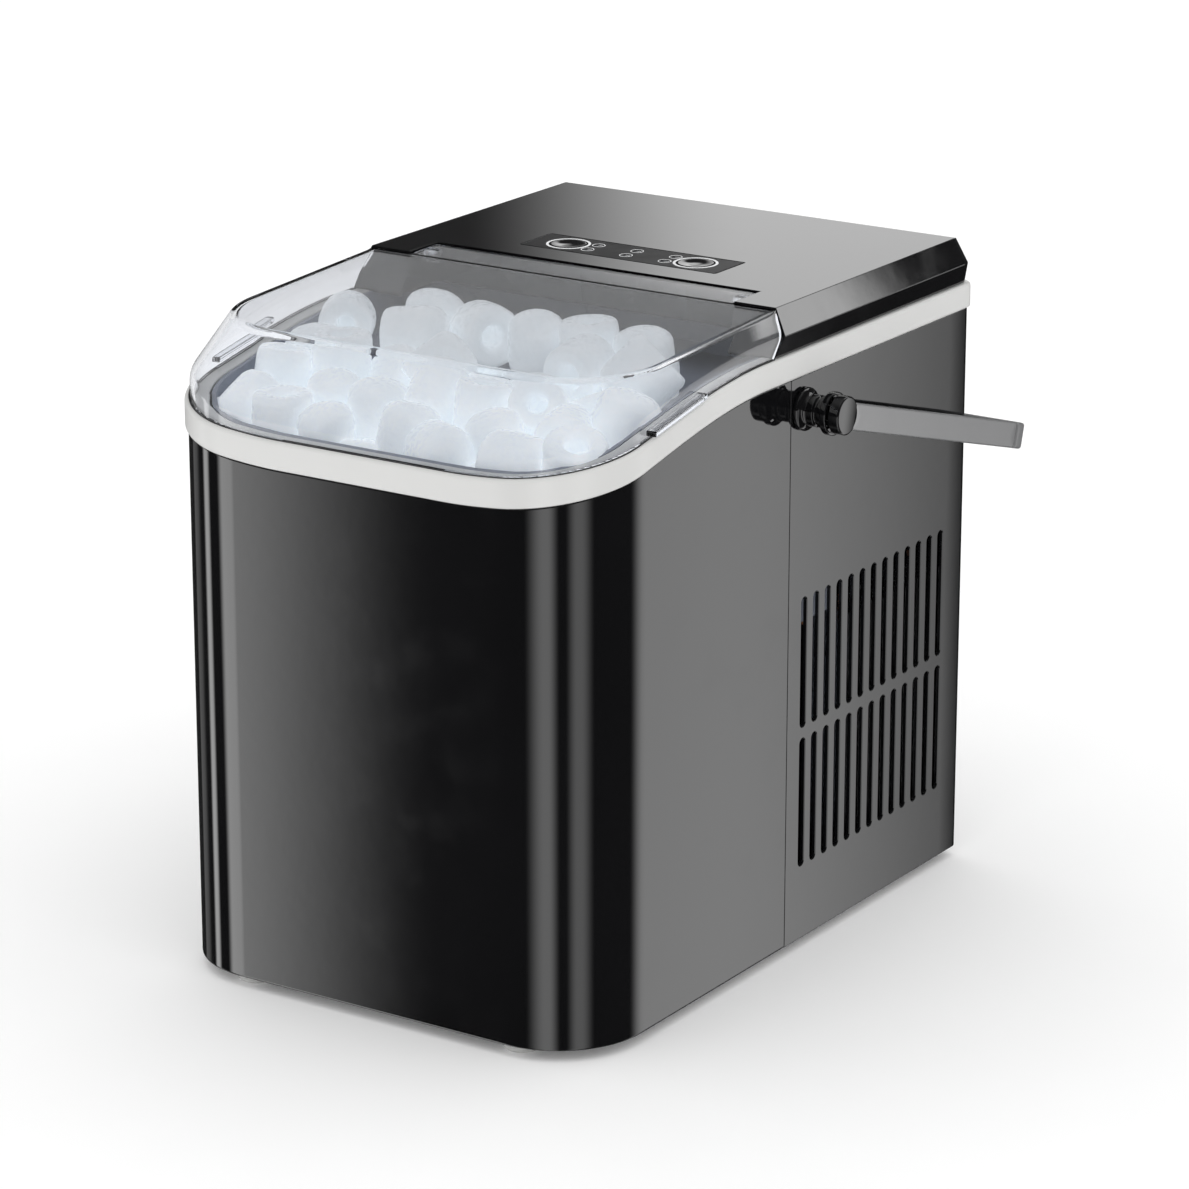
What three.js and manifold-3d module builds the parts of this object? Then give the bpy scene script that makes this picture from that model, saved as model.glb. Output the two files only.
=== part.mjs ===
// A countertop bullet-ice maker: a deep rounded casing with a light trim ring, a clear hinged lid
// over the ice basket, a black top cover with the controls, a folding carry handle, and inside it
// the tilting water tray, the finger evaporator and the cooling circuit.
// Millimetres. +X is to the right seen from the front, +Y to the back, +Z up.
import * as THREE from 'three';
import { mergeVertices } from 'three/addons/utils/BufferGeometryUtils.js';
import { ParametricGeometry } from 'three/addons/geometries/ParametricGeometry.js';
import Module from 'manifold-3d';

const wasm = await Module();
wasm.setup();

// ---------------------------------------------------------------- driving dimensions, mm
const BODY_WIDTH = 222;
const BODY_DEPTH = 316;
const BODY_HEIGHT = 295.4; // from the worktop to the top of the cover
const FRONT_CORNER = 41.5; // radius of the two tall front corners
const REAR_CORNER = 6;
const SEAM_Y = 0; // where the front shell meets the rear housing
const WALL = 2.2; // outer shells
const GAP = 0.3; // between pieces that touch
const RUNNING = 0.35; // round a shaft or a pin that turns
const PORT_CLEAR = 1; // round a pipe in a wall

const FOOT_HEIGHT = 5;
const FOOT_RADIUS = 8.5;
const FOOT_STEM = 3.5;
const FOOT_INSET_X = 41;
const FOOT_INSET_Y = 13;
const PAN_FLOOR = 3;
const PAN_RIM = 10;

const TRIM_OVERHANG = 1.4;
const TRIM_LEDGE = 9.5; // how far the flange reaches in from the body's face
const TRIM_FLANGE = 2.5;
const TRIM_HEIGHT = 11.4;
const TRIM_FRONT_EXTRA = 1.2; // the band is this much taller at the front
const TRIM_DROP = 25; // how much lower the front is than the back
const DROP_START = -20; // where the drop begins on each side
const DROP_LENGTH = 190; // measured round the corner from there

const COVER_HEIGHT = 20.1;
const COVER_WALL = 2.5;
const COVER_BEVEL = 5.8; // width of the bevel round the top
const COVER_BEVEL_HEIGHT = 11.3;
const COVER_FRONT = -3; // top edge of the cover's front
const COVER_LEAN = 8.9; // how much further forward its foot is
const NOTCH_HALF = 84.5; // bay in the cover's front for the lid's hinge tab
const HINGE_Y = 9;
const HINGE_DROP = 5.4; // hinge axis below the cover's top
const HINGE_PIN = 1.6;
const HINGE_LUG = 3.6;

const PANEL_WIDTH = 102;
const PANEL_DEPTH = 24.5;
const PANEL_FRONT = 34.5;
const PANEL_THICKNESS = 1.2;
const BUTTON_RADIUS = 8.2;
const BUTTON_SPACING = 67;
const BUTTON_TRAVEL = 1;
const BUTTON_SKIRT = 1.8; // skirt that holds the key under the strip
const LIGHT_RADIUS = 2.3;
const LIGHT_MARGIN = 0.9; // light bar to the skirt of the next key
const LIGHT_SPACING_Y = 9.2;

const LID_INSET = 1.0; // rim in from the body's face
const LID_WALL = 2.2;
const LID_BAND = 9.2; // upright rim on the trim
const LID_TOP_DROP = 0.4; // below the cover's top
const LID_SLOPE = 0.045;
const LID_CREASE_FRONT = 26; // crease in from the body's front
const LID_CREASE_CORNER = 38;
const LID_SEAT = 0.4;
const TAB_REACH = 6.3; // hinge tab behind the hinge axis
const GRIP_LENGTH = 40;
const GRIP_Y = -92;
const GRIP_OUT = 3.4;

const INSULATION = 6.4;
const LINER_WALL = 2;
const LINER_BOTTOM = 20;
const TUB_REAR = 2; // rear face of the deep tub
const BAY_DEPTH = 48; // the ice bay behind it
const RESERVOIR_DEPTH = 78; // reservoir floor up to the basket's rails
const RAIL_WIDTH = 8;
const RAIL_HEIGHT = 4;

const BASKET_WALL = 2;
const BASKET_CLEARANCE = 2.2; // to the liner at the rim
const BASKET_TAPER = 5;
const BASKET_TOP_DROP = 14; // below the front of the trim
const BASKET_SETBACK = 13.5; // basket's rear rim in front of the hood
const BASKET_SILL = 56; // how much lower the rear wall is
const DRAIN_SLOT = 26;

const MODULE_DROP = 20; // top of the ice module below the top of the trim
const MODULE_LEFT = -77;
const MODULE_RIGHT = 61;
const CHEEK = 3;
const TRAY_DEPTH = 50;
const TRAY_HEIGHT = 34;
const TRAY_WALL = 2;
const TRAY_AXIS_Y = 14;
const TRAY_AXIS_DROP = 39.3; // tray axis below the module's top
const TRAY_PIN = 3;
const TRAY_LIP = 2; // wall above the axis
const ARM_CLEAR = 2; // tray end to shovel arm, and arm to cheek
const ARM = 2.5;
const SHOVEL_AXIS_RISE = 12; // above the tray axis
const SHOVEL_PIN = 2.5;
const SHOVEL_BLADE = 32;
const FINGER_RADIUS = 4.5;
const FINGER_PITCH = 21;
const FINGER_COUNT = 5; // in the front row, one fewer behind
const FINGER_REACH = 23; // tips below the tray axis
const FINGER_FRONT_INSET = 14; // front row behind the tray's front
const FINGER_REAR_INSET = 12; // rear row in front of the tray's axis
const HOOD_REACH = 13; // hood's front in front of the shovel's axis
const SPOUT_X = -50;
const SPOUT_RADIUS = 3.5;

const PIVOT_Y = 10.5; // carry handle
const PIVOT_BELOW_TRIM = 26.3;
const HANDLE_SIDE_GAP = 17; // body's side to the arm's inner face
const HANDLE_ARM = 5;
const HANDLE_WIDTH = 12;
const HANDLE_REST = 16.1; // degrees below level
const HANDLE_BACK_GAP = 1.4;
const GRIP_THICKNESS = 8;
const BOSS_FLANGE = 9.5;
const BOSS_NECK = 7;
const AXLE_RADIUS = 3;

const VENT_WIDTH = 4.8;
const VENT_LENGTH = 59.5;
const VENT_PITCH = 10;
const VENT_COUNT = 13;
const VENT_FIRST_Y = 13.6;
const VENT_ROWS = [39.5, 104.2]; // lower ends of the two rows
const REAR_VENTS = 9;

const COMPRESSOR_RADIUS = 42;
const COMPRESSOR_HEIGHT = 118;
const COMPRESSOR_X = -54;
const GROMMET_HEIGHT = 11;
const GROMMET_RADIUS = 7;
const BRACKET = 3;
const REAR_CLEAR = 8; // machine parts to the rear wall
const CONDENSER_X = 86;
const CONDENSER_THICK = 19;
const CONDENSER_LENGTH = 86;
const CONDENSER_BOTTOM = 30;
const FIN = 1.4;
const FIN_COUNT = 14;
const FAN_RADIUS = 38;
const FAN_BLADES = 5;
const FAN_HUB = 12;
const SUCTION = 3; // radius of the pipe from the evaporator to the compressor
const SUCTION_X = 34;
const CAPILLARY = 1.4;
const CAPILLARY_X = 20;
const PUMP_X = -82;
const PUMP_SPOUT = 4;
const PUMP_SPOUT_Z = 32;
const PLUG_Y = -60;
const PLUG_Z = 32;
const PLUG_STEM = 5;
const INLET_X = 36;
const INLET_Z = 37;

// ---------------------------------------------------------------- places that follow from them
const half = BODY_WIDTH / 2;
const front = -BODY_DEPTH / 2;
const back = BODY_DEPTH / 2;
const top = BODY_HEIGHT;
const trimTop = top - COVER_HEIGHT;
const panTop = FOOT_HEIGHT + PAN_FLOOR;
const linerHalf = half - TRIM_LEDGE - 2 * GAP;
const linerFront = front + TRIM_LEDGE + 2 * GAP;
const linerFloor = LINER_BOTTOM + LINER_WALL;
const bayRear = TUB_REAR + BAY_DEPTH;
const moduleTop = trimTop - MODULE_DROP;
const trayAxisZ = moduleTop - TRAY_AXIS_DROP;
const shovelAxisY = TRAY_AXIS_Y - TRAY_DEPTH;
const hoodFront = shovelAxisY - HOOD_REACH;
const basketRear = hoodFront - BASKET_SETBACK;
const fingerFrontY = TRAY_AXIS_Y - TRAY_DEPTH + FINGER_FRONT_INSET;
const fingerRearY = TRAY_AXIS_Y - FINGER_REAR_INSET;
const traySwing = Math.hypot(TRAY_DEPTH, TRAY_HEIGHT - TRAY_LIP);
const bayFloor = trayAxisZ - traySwing - 8;
const basketTop = trimTop - TRIM_DROP - BASKET_TOP_DROP;
const basketFloor = linerFloor + RESERVOIR_DEPTH;
const hingeZ = top - HINGE_DROP;
const pivotZ = trimTop - PIVOT_BELOW_TRIM;
const machineRear = back - WALL - REAR_CLEAR;
const condenserTop = bayFloor - 6;
const buttonY = PANEL_FRONT + PANEL_DEPTH / 2;
const lightSpacingX = BUTTON_SPACING / 2 - BUTTON_RADIUS - BUTTON_SKIRT - LIGHT_MARGIN - LIGHT_RADIUS;

// ---------------------------------------------------------------- solids
const FRONT_STEPS = 4;
const CORNER_STEPS = 8;
const SIDE_STEPS = 14;

/** A three.js geometry as a manifold solid, with its faces turned outwards. */
function solid(geometry) {
  for (const name of Object.keys(geometry.attributes)) {
    if (name !== 'position') geometry.deleteAttribute(name);
  }
  const merged = mergeVertices(geometry, 1e-4);
  const index = merged.index.array;
  const triangles = [];
  for (let i = 0; i < index.length; i += 3) {
    const [a, b, c] = [index[i], index[i + 1], index[i + 2]];
    if (a !== b && b !== c && c !== a) triangles.push([a, b, c]);
  }
  const make = (list) => new wasm.Manifold(new wasm.Mesh({
    numProp: 3,
    vertProperties: new Float32Array(merged.attributes.position.array),
    triVerts: new Uint32Array(list.flat()),
  }));
  const body = make(triangles);
  return body.volume() < 0 ? make(triangles.map(([a, b, c]) => [a, c, b])) : body;
}

/** A block between two corners. */
function block(x0, x1, y0, y1, z0, z1) {
  const shape = new THREE.BoxGeometry(x1 - x0, y1 - y0, z1 - z0);
  return solid(shape.translate((x0 + x1) / 2, (y0 + y1) / 2, (z0 + z1) / 2));
}

const TURN = { x: [0, 0, -Math.PI / 2], y: [0, 0, 0], z: [Math.PI / 2, 0, 0] };

/** A solid of revolution: [radius, height] points from axis to axis, along an axis from a place. */
function turned(profile, axis, place, sides = 24) {
  const shape = new THREE.LatheGeometry(profile.map(([r, h]) => new THREE.Vector2(r, h)), sides);
  const [rx, ry, rz] = TURN[axis];
  return solid(shape.applyMatrix4(new THREE.Matrix4().makeRotationFromEuler(new THREE.Euler(rx, ry, rz)))
    .translate(...place));
}

/** A round bar along an axis from a place. */
function bar(radius, length, axis, place, sides = 24) {
  return turned([[0, 0], [radius, 0], [radius, length], [0, length]], axis, place, sides);
}

/** A [y, z] outline carried along X. */
function prismX(points, x0, x1) {
  const shape = new THREE.Shape(points.map(([y, z]) => new THREE.Vector2(y, z)));
  const geometry = new THREE.ExtrudeGeometry(shape, { depth: x1 - x0, bevelEnabled: false });
  const turn = new THREE.Matrix4().makeBasis(
    new THREE.Vector3(0, 1, 0), new THREE.Vector3(0, 0, 1), new THREE.Vector3(1, 0, 0));
  return solid(geometry.applyMatrix4(turn).translate(x0, 0, 0));
}

/** An upright plate of an [x, y] shape between two heights. */
function plate(shape, z0, z1, curveSegments = 6) {
  const geometry = new THREE.ExtrudeGeometry(shape, { depth: z1 - z0, bevelEnabled: false, curveSegments });
  return solid(geometry.translate(0, 0, z0));
}

/** A slot with round ends as a shape: centre of its lower end, width and length along the second axis. */
function slotShape(a, b, width, length) {
  const shape = new THREE.Shape();
  const r = width / 2;
  shape.absarc(a, b + r, r, Math.PI, 2 * Math.PI);
  shape.absarc(a, b + length - r, r, 0, Math.PI);
  shape.closePath();
  return shape;
}

/** A tube along smooth points; an arc takes two sides for each of its curve segments. */
function pipe(points, radius, steps = 30, sides = 6) {
  const path = new THREE.CatmullRomCurve3(points.map((p) => new THREE.Vector3(...p)), false, 'centripetal');
  const shape = new THREE.Shape();
  shape.absarc(0, 0, radius, 0, 2 * Math.PI);
  return solid(new THREE.ExtrudeGeometry(shape,
    { extrudePath: path, steps, curveSegments: sides / 2, bevelEnabled: false }));
}

const joined = (bodies) => bodies.reduce((a, b) => a.add(b));
const cut = (body, ...tools) => tools.reduce((a, b) => a.subtract(b), body);

/**
 * Stations round a rounded rectangle from the middle of its front.
 * A rim that drops along the side needs all the steps of the side.
 */
function outline({ halfWidth, yFront, yBack, frontRadius, rearRadius, sideSteps = SIDE_STEPS }) {
  const points = [];
  const line = (x0, y0, x1, y1, steps) => {
    for (let i = 0; i < steps; i += 1) {
      points.push(new THREE.Vector2(x0 + ((x1 - x0) * i) / steps, y0 + ((y1 - y0) * i) / steps));
    }
  };
  const arc = (cx, cy, r, from, steps) => {
    for (let i = 0; i < steps; i += 1) {
      const a = from + (i / steps) * (Math.PI / 2);
      points.push(new THREE.Vector2(cx + r * Math.cos(a), cy + r * Math.sin(a)));
    }
  };
  const fx = halfWidth - frontRadius;
  const fy = yFront + frontRadius;
  const rx = halfWidth - rearRadius;
  const ry = yBack - rearRadius;
  line(0, yFront, fx, yFront, FRONT_STEPS);
  arc(fx, fy, frontRadius, -Math.PI / 2, CORNER_STEPS);
  line(halfWidth, fy, halfWidth, ry, sideSteps);
  arc(rx, ry, rearRadius, 0, 2);
  line(rx, yBack, -rx, yBack, 2);
  arc(-rx, ry, rearRadius, Math.PI / 2, 2);
  line(-halfWidth, ry, -halfWidth, fy, sideSteps);
  arc(-fx, fy, frontRadius, Math.PI, CORNER_STEPS);
  line(-fx, yFront, 0, yFront, FRONT_STEPS);
  return points;
}

/** The body's outline moved in by some distance. */
function bodyOutline(inset, sideSteps = SIDE_STEPS) {
  return outline({
    sideSteps,
    halfWidth: half - inset,
    yFront: front + inset,
    yBack: back - inset,
    frontRadius: Math.max(FRONT_CORNER - inset, 1),
    rearRadius: Math.max(REAR_CORNER - inset, 1),
  });
}

const at = (points, z) => points.map((p) => new THREE.Vector3(p.x, p.y, typeof z === 'function' ? z(p.x,
    p.y) : z));

/** Closed surface through loops of stations: joined end to start, or closed at each end by a fan. */
function throughLoops(loops, ring) {
  const centre = (loop) => loop.reduce((a, p) => a.add(p), new THREE.Vector3()).divideScalar(loop.length);
  const fan = (loop) => loop.map(() => centre(loop));
  const rows = ring ? [...loops, loops[0]] : [fan(loops[0]), ...loops, fan(loops[loops.length - 1])];
  const columns = loops[0].length;
  const place = (u, v, target) => {
    target.copy(rows[Math.round(v * (rows.length - 1))][Math.round(u * columns) % columns]);
  };
  return solid(new ParametricGeometry(place, columns, rows.length - 1));
}

/** 0 at the back, 1 at the middle of the front: how far the rim has come down at a point. */
function dropShare(x, y) {
  const cornerX = half - FRONT_CORNER;
  const cornerY = front + FRONT_CORNER;
  let run = DROP_START - y;
  if (y < cornerY) {
    const turn = Math.atan2(cornerY - y, Math.max(Math.abs(x) - cornerX, 0));
    run = DROP_START - cornerY + FRONT_CORNER * turn + Math.max(cornerX - Math.abs(x), 0);
  }
  const t = Math.min(Math.max(run / DROP_LENGTH, 0), 1);
  return t * t * (3 - 2 * t);
}

const rimTop = (x, y) => trimTop - TRIM_DROP * dropShare(x, y);
const rimBottom = (x, y) => rimTop(x, y) - TRIM_HEIGHT - TRIM_FRONT_EXTRA * dropShare(x, y);

/** A ring round the body from a section of [inset, height] corners. */
function bodyRing(section) {
  return throughLoops(section.map(([inset, z]) => at(bodyOutline(inset), z)), true);
}

// ---------------------------------------------------------------- the model
const model = new THREE.Group();

const FINISH = {
  gloss_black: { color: 0x0a0a0b, roughness: 0.08, metalness: 0 },
  satin_black: { color: 0x141415, roughness: 0.45, metalness: 0 },
  light_grey: { color: 0xd6d6d4, roughness: 0.4, metalness: 0 },
  white_plastic: { color: 0xe6e8ea, roughness: 0.45, metalness: 0 },
  liner_grey: { color: 0x9aa0a8, roughness: 0.5, metalness: 0 },
  clear: { color: 0xc4cad6, roughness: 0.05, metalness: 0, transparent: true, opacity: 0.35 },
  smoke_grey: { color: 0x6c6d70, roughness: 0.25, metalness: 0 },
  steel: { color: 0xb8babd, roughness: 0.3, metalness: 1 },
  copper: { color: 0xb8713c, roughness: 0.3, metalness: 1 },
  aluminium: { color: 0xc6c8ca, roughness: 0.4, metalness: 1 },
  rubber: { color: 0x9a9b9c, roughness: 0.8, metalness: 0 },
  black_paint: { color: 0x101011, roughness: 0.5, metalness: 0.2 },
  board_green: { color: 0x1d5a33, roughness: 0.5, metalness: 0 },
  foam: { color: 0xf0f0ec, roughness: 0.95, metalness: 0 },
};

/** Puts a solid into the model as a named mesh. */
function add(name, body, finish) {
  const mesh = body.getMesh();
  const geometry = new THREE.BufferGeometry();
  geometry.setAttribute('position', new THREE.BufferAttribute(new Float32Array(mesh.vertProperties),
      mesh.numProp));
  geometry.setIndex(new THREE.BufferAttribute(new Uint32Array(mesh.triVerts), 1));
  geometry.computeVertexNormals();
  const piece = new THREE.Mesh(geometry, new THREE.MeshStandardMaterial(FINISH[finish]));
  piece.name = name;
  model.add(piece);
}

// ---------------------------------------------------------------- casing
/** Wall of the casing, from the base to just under the trim. */
function casingWall() {
  const upper = (x, y) => rimBottom(x, y) - GAP;
  return bodyRing([[0, FOOT_HEIGHT], [0, upper], [WALL, upper], [WALL, FOOT_HEIGHT]]);
}

function frontShell() {
  const plugHole = bar(PLUG_STEM + 3, 20, 'x', [-half - 10, PLUG_Y, PLUG_Z]);
  return cut(casingWall(), block(-200, 200, SEAM_Y - GAP / 2, 400, -10, 500), plugHole);
}

/** The two rows of tall slots in one side, as a cutter. */
function sideVents(x0, x1) {
  const slots = [];
  for (const z of VENT_ROWS) {
    for (let i = 0; i < VENT_COUNT; i += 1) {
      const shape = slotShape(VENT_FIRST_Y + i * VENT_PITCH, z, VENT_WIDTH, VENT_LENGTH);
      const points = shape.getPoints(1).map((p) => [p.x, p.y]);
      slots.push(prismX(points, x0, x1));
    }
  }
  return joined(slots);
}

/** Slots in the back wall behind the compressor, as a cutter. */
function rearVents() {
  const slots = [];
  for (let i = 0; i < REAR_VENTS; i += 1) {
    const x = COMPRESSOR_X + (i - (REAR_VENTS - 1) / 2) * VENT_PITCH;
    const geometry = new THREE.ExtrudeGeometry(slotShape(x, VENT_ROWS[1], VENT_WIDTH, VENT_LENGTH),
      { depth: 20, bevelEnabled: false, curveSegments: 1 });
    slots.push(solid(geometry.rotateX(Math.PI / 2).translate(0, back + 10, 0)));
  }
  return joined(slots);
}

function rearHousing() {
  const bossHoles = [-1, 1].map((s) => bar(AXLE_RADIUS + 2 + GAP, 20, 'x', [s * half - 10, PIVOT_Y, pivotZ]));
  const inletHole = block(INLET_X - 13 - GAP, INLET_X + 13 + GAP, back - 10, back + 10,
    INLET_Z - 10 - GAP, INLET_Z + 10 + GAP);
  return cut(casingWall(), block(-200, 200, -400, SEAM_Y + GAP / 2, -10, 500),
    sideVents(half - 10, half + 10), sideVents(-half - 10, -half + 10), rearVents(), ...bossHoles, inletHole);
}

const feet = [[-1, 'left'], [1, 'right']].flatMap(([side, across]) => [
  { name: `foot_front_${across}`, x: side * (half - FOOT_INSET_X), y: front + FOOT_INSET_Y },
  { name: `foot_rear_${across}`, x: side * (half - FOOT_INSET_X), y: back - FOOT_INSET_Y },
]);

function basePan() {
  const inset = WALL + GAP;
  const outside = bodyOutline(inset, 1);
  const inside = bodyOutline(inset + WALL, 1);
  const outer = throughLoops([at(outside, FOOT_HEIGHT), at(outside, FOOT_HEIGHT + PAN_RIM)]);
  const inner = throughLoops([at(inside, panTop), at(inside, FOOT_HEIGHT + PAN_RIM + 10)]);
  const holes = feet.map(({ x, y }) => bar(FOOT_STEM + GAP, 40, 'z', [x, y, -10], 16));
  return cut(outer, inner, ...holes);
}

function foot({ x, y }) {
  const r = FOOT_RADIUS;
  const pad = FOOT_HEIGHT - GAP;
  return turned([[0, 0], [r - 1.2, 0], [r, 1.2], [r, pad], [FOOT_STEM, pad],
    [FOOT_STEM, panTop + 1], [0, panTop + 1]], 'z', [x, y, 0], 14);
}

function trimRing() {
  const under = (x, y) => rimTop(x, y) - TRIM_FLANGE;
  return bodyRing([[-TRIM_OVERHANG, rimBottom], [-TRIM_OVERHANG, rimTop], [TRIM_LEDGE, rimTop],
    [TRIM_LEDGE, under], [WALL, under], [WALL, rimBottom]]);
}

/** The space under the cover's skin, moved in by a wall: bevelled block less its leaning front and notch. */
function coverBlock(wall, bottom) {
  const edge = at(bodyOutline(wall), top - COVER_BEVEL_HEIGHT);
  const crown = at(bodyOutline(wall + COVER_BEVEL), top - wall);
  const body = throughLoops([at(bodyOutline(wall), bottom), edge, crown]);
  const lean = [[front - 20, bottom - 5], [COVER_FRONT - COVER_LEAN + wall, bottom - 5],
    [COVER_FRONT - COVER_LEAN + wall, trimTop + GAP], [COVER_FRONT - 2.4 + wall,
        top - COVER_BEVEL_HEIGHT - 0.6],
    [COVER_FRONT + wall, top + 5], [front - 20, top + 5]];
  const notchRear = HINGE_Y + Math.hypot(TAB_REACH, HINGE_DROP) + 0.6;
  const notch = block(-NOTCH_HALF - wall, NOTCH_HALF + wall, front, notchRear + wall, 0, top + 10);
  return cut(body, prismX(lean, -200, 200), notch);
}

function topCover() {
  const panelSeat = block(-PANEL_WIDTH / 2 - GAP, PANEL_WIDTH / 2 + GAP, PANEL_FRONT - GAP,
    PANEL_FRONT + PANEL_DEPTH + GAP, top - PANEL_THICKNESS - GAP, top + 5);
  const seat = block(-PANEL_WIDTH / 2 - 3, PANEL_WIDTH / 2 + 3, PANEL_FRONT - 3,
    PANEL_FRONT + PANEL_DEPTH + 3, top - COVER_WALL - 1.4, top - COVER_WALL + 0.1);
  const window = block(-BUTTON_SPACING / 2 - BUTTON_RADIUS - 3, BUTTON_SPACING / 2 + BUTTON_RADIUS + 3,
    buttonY - BUTTON_RADIUS - 3, buttonY + BUTTON_RADIUS + 3, top - 10, top);
  const bosses = [-1, 1].map((s) => bar(HINGE_LUG, 9, 'x',
    [s > 0 ? NOTCH_HALF + 0.5 : -NOTCH_HALF - 9.5, HINGE_Y, hingeZ], 16));
  const bores = [-1, 1].map((s) => bar(HINGE_PIN + RUNNING, 8, 'x',
    [s > 0 ? NOTCH_HALF - 1 : -NOTCH_HALF - 7, HINGE_Y, hingeZ], 16));
  const shell = cut(coverBlock(0, trimTop + GAP), coverBlock(COVER_WALL, trimTop - 20));
  return cut(joined([shell, seat, ...bosses]), panelSeat, window, ...bores);
}

/** Control strip: a thin plate with its two button holes and the light holes. */
function controlPanel() {
  const w = PANEL_WIDTH / 2;
  const y0 = PANEL_FRONT;
  const y1 = PANEL_FRONT + PANEL_DEPTH;
  const r = 3;
  const shape = new THREE.Shape();
  shape.moveTo(-w + r, y0);
  shape.lineTo(w - r, y0);
  shape.absarc(w - r, y0 + r, r, -Math.PI / 2, 0);
  shape.lineTo(w, y1);
  shape.lineTo(-w, y1);
  shape.absarc(-w + r, y0 + r, r, Math.PI, 1.5 * Math.PI);
  const holes = [
    ...[-1, 1].map((s) => bar(BUTTON_RADIUS + GAP, 10, 'z', [(s * BUTTON_SPACING) / 2, buttonY, top - 5],
        20)),
    ...lightPlaces().map(([x, y]) => bar(LIGHT_RADIUS + GAP, 10, 'z', [x, y, top - 5], 8)),
  ];
  return cut(plate(shape, top - PANEL_THICKNESS, top, 4), ...holes);
}

function lightPlaces() {
  return [-1, 0, 1].flatMap((i) => [-1, 1].map((j) =>
    [i * lightSpacingX, buttonY + (j * LIGHT_SPACING_Y) / 2]));
}

/** Light pipe bar under the strip, with six round windows that fill the strip's holes. */
function indicatorLens() {
  const under = top - PANEL_THICKNESS - GAP;
  const rail = block(-lightSpacingX - LIGHT_RADIUS, lightSpacingX + LIGHT_RADIUS,
    buttonY - LIGHT_SPACING_Y / 2 - LIGHT_RADIUS, buttonY + LIGHT_SPACING_Y / 2 + LIGHT_RADIUS, under - 1.5,
        under);
  return joined([rail, ...lightPlaces().map(([x, y]) => bar(LIGHT_RADIUS, 3, 'z', [x, y, top - 3], 8))]);
}

/** A key that shows in the strip, held below by a wider skirt. */
function button(side) {
  const under = top - PANEL_THICKNESS - GAP;
  const r = BUTTON_RADIUS;
  return turned([[0, under - 4], [r - 3, under - 4], [r - 3, under - 3], [r + BUTTON_SKIRT, under - 3],
      [r + BUTTON_SKIRT, under],
    [r, under], [r, top - 0.3], [r - 0.5, top + 0.2], [0, top - 0.2]], 'z', [(side * BUTTON_SPACING) / 2,
        buttonY, 0], 20);
}

// ---------------------------------------------------------------- lid
const lidTop = (x, y) => top - LID_TOP_DROP + LID_SLOPE * (y - COVER_FRONT);

/** The lid's outer form, or its hollow when moved in by the wall. */
function lidForm(wall, seat) {
  const rim = bodyOutline(LID_INSET + wall);
  const crease = outline({
    halfWidth: half - COVER_BEVEL - wall,
    yFront: front + LID_CREASE_FRONT + wall,
    yBack: back - COVER_BEVEL - wall,
    frontRadius: LID_CREASE_CORNER,
    rearRadius: 1,
  });
  const bandTop = (x, y) => rimTop(x, y) + LID_BAND - wall * 0.5;
  return throughLoops([at(rim, seat), at(rim, bandTop), at(crease, (x, y) => lidTop(x, y) - wall)]);
}

function lid() {
  const shell = cut(lidForm(0, (x, y) => rimTop(x, y) + LID_SEAT), lidForm(LID_WALL, (x, y) => rimTop(x,
      y) - 20));
  const low = trimTop - TRIM_DROP - 30;
  const behind = [[COVER_FRONT - COVER_LEAN - 1, low], [back + 20, low], [back + 20, top + 20],
    [COVER_FRONT - 0.9, top + 20], [COVER_FRONT - 0.9, top - 0.5], [COVER_FRONT - 2.2, top - 2.9],
    [COVER_FRONT - 3.4, top - COVER_BEVEL_HEIGHT], [COVER_FRONT - COVER_LEAN - 1, trimTop + LID_SEAT]];
  const tabHalf = NOTCH_HALF - 0.8;
  const tabTop = top - LID_TOP_DROP;
  const tab = prismX([[COVER_FRONT - 6, tabTop - LID_WALL - 0.2], [HINGE_Y + TAB_REACH - 1.6,
      tabTop - LID_WALL - 0.2],
    [HINGE_Y + TAB_REACH, tabTop - 1.2], [HINGE_Y + TAB_REACH, tabTop], [COVER_FRONT - 1, tabTop]],
        -tabHalf, tabHalf);
  const lugR = HINGE_LUG - 0.2;
  const lugs = [tabHalf - 6, -tabHalf].flatMap((x) => [bar(lugR, 6, 'x', [x, HINGE_Y, hingeZ], 16),
    block(x, x + 6, HINGE_Y - lugR, HINGE_Y + lugR, hingeZ, tabTop - 0.5)]);
  const bores = [-1, 1].map((s) => bar(HINGE_PIN + GAP, 12, 'x', [s > 0 ? tabHalf - 8 : -tabHalf - 4,
      HINGE_Y, hingeZ], 16));
  return cut(joined([cut(shell, prismX(behind, -200, 200)), tab, ...lugs, ...lidGrips()]), ...bores);
}

/** Finger lip on each side of the rim, standing out over the trim. */
function lidGrips() {
  const z = rimTop(half, GRIP_Y);
  const slope = (rimTop(half, GRIP_Y + 5) - rimTop(half, GRIP_Y - 5)) / 10;
  const rise = (slope * GRIP_LENGTH) / 2;
  const y0 = GRIP_Y - GRIP_LENGTH / 2;
  const y1 = GRIP_Y + GRIP_LENGTH / 2;
  const lip = [[y0, z - rise + 1.6], [y1, z + rise + 1.6], [y1, z + rise + 4], [y0, z - rise + 4]];
  const inner = half - LID_INSET - LID_WALL / 2;
  return [prismX(lip, inner, half + GRIP_OUT), prismX(lip, -half - GRIP_OUT, -inner)];
}

function lidPin(side) {
  const from = NOTCH_HALF - 0.8 - 6;
  const length = 6 + 0.8 + 5;
  return bar(HINGE_PIN, length, 'x', [side > 0 ? from : -from - length, HINGE_Y, hingeZ], 16);
}

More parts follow.
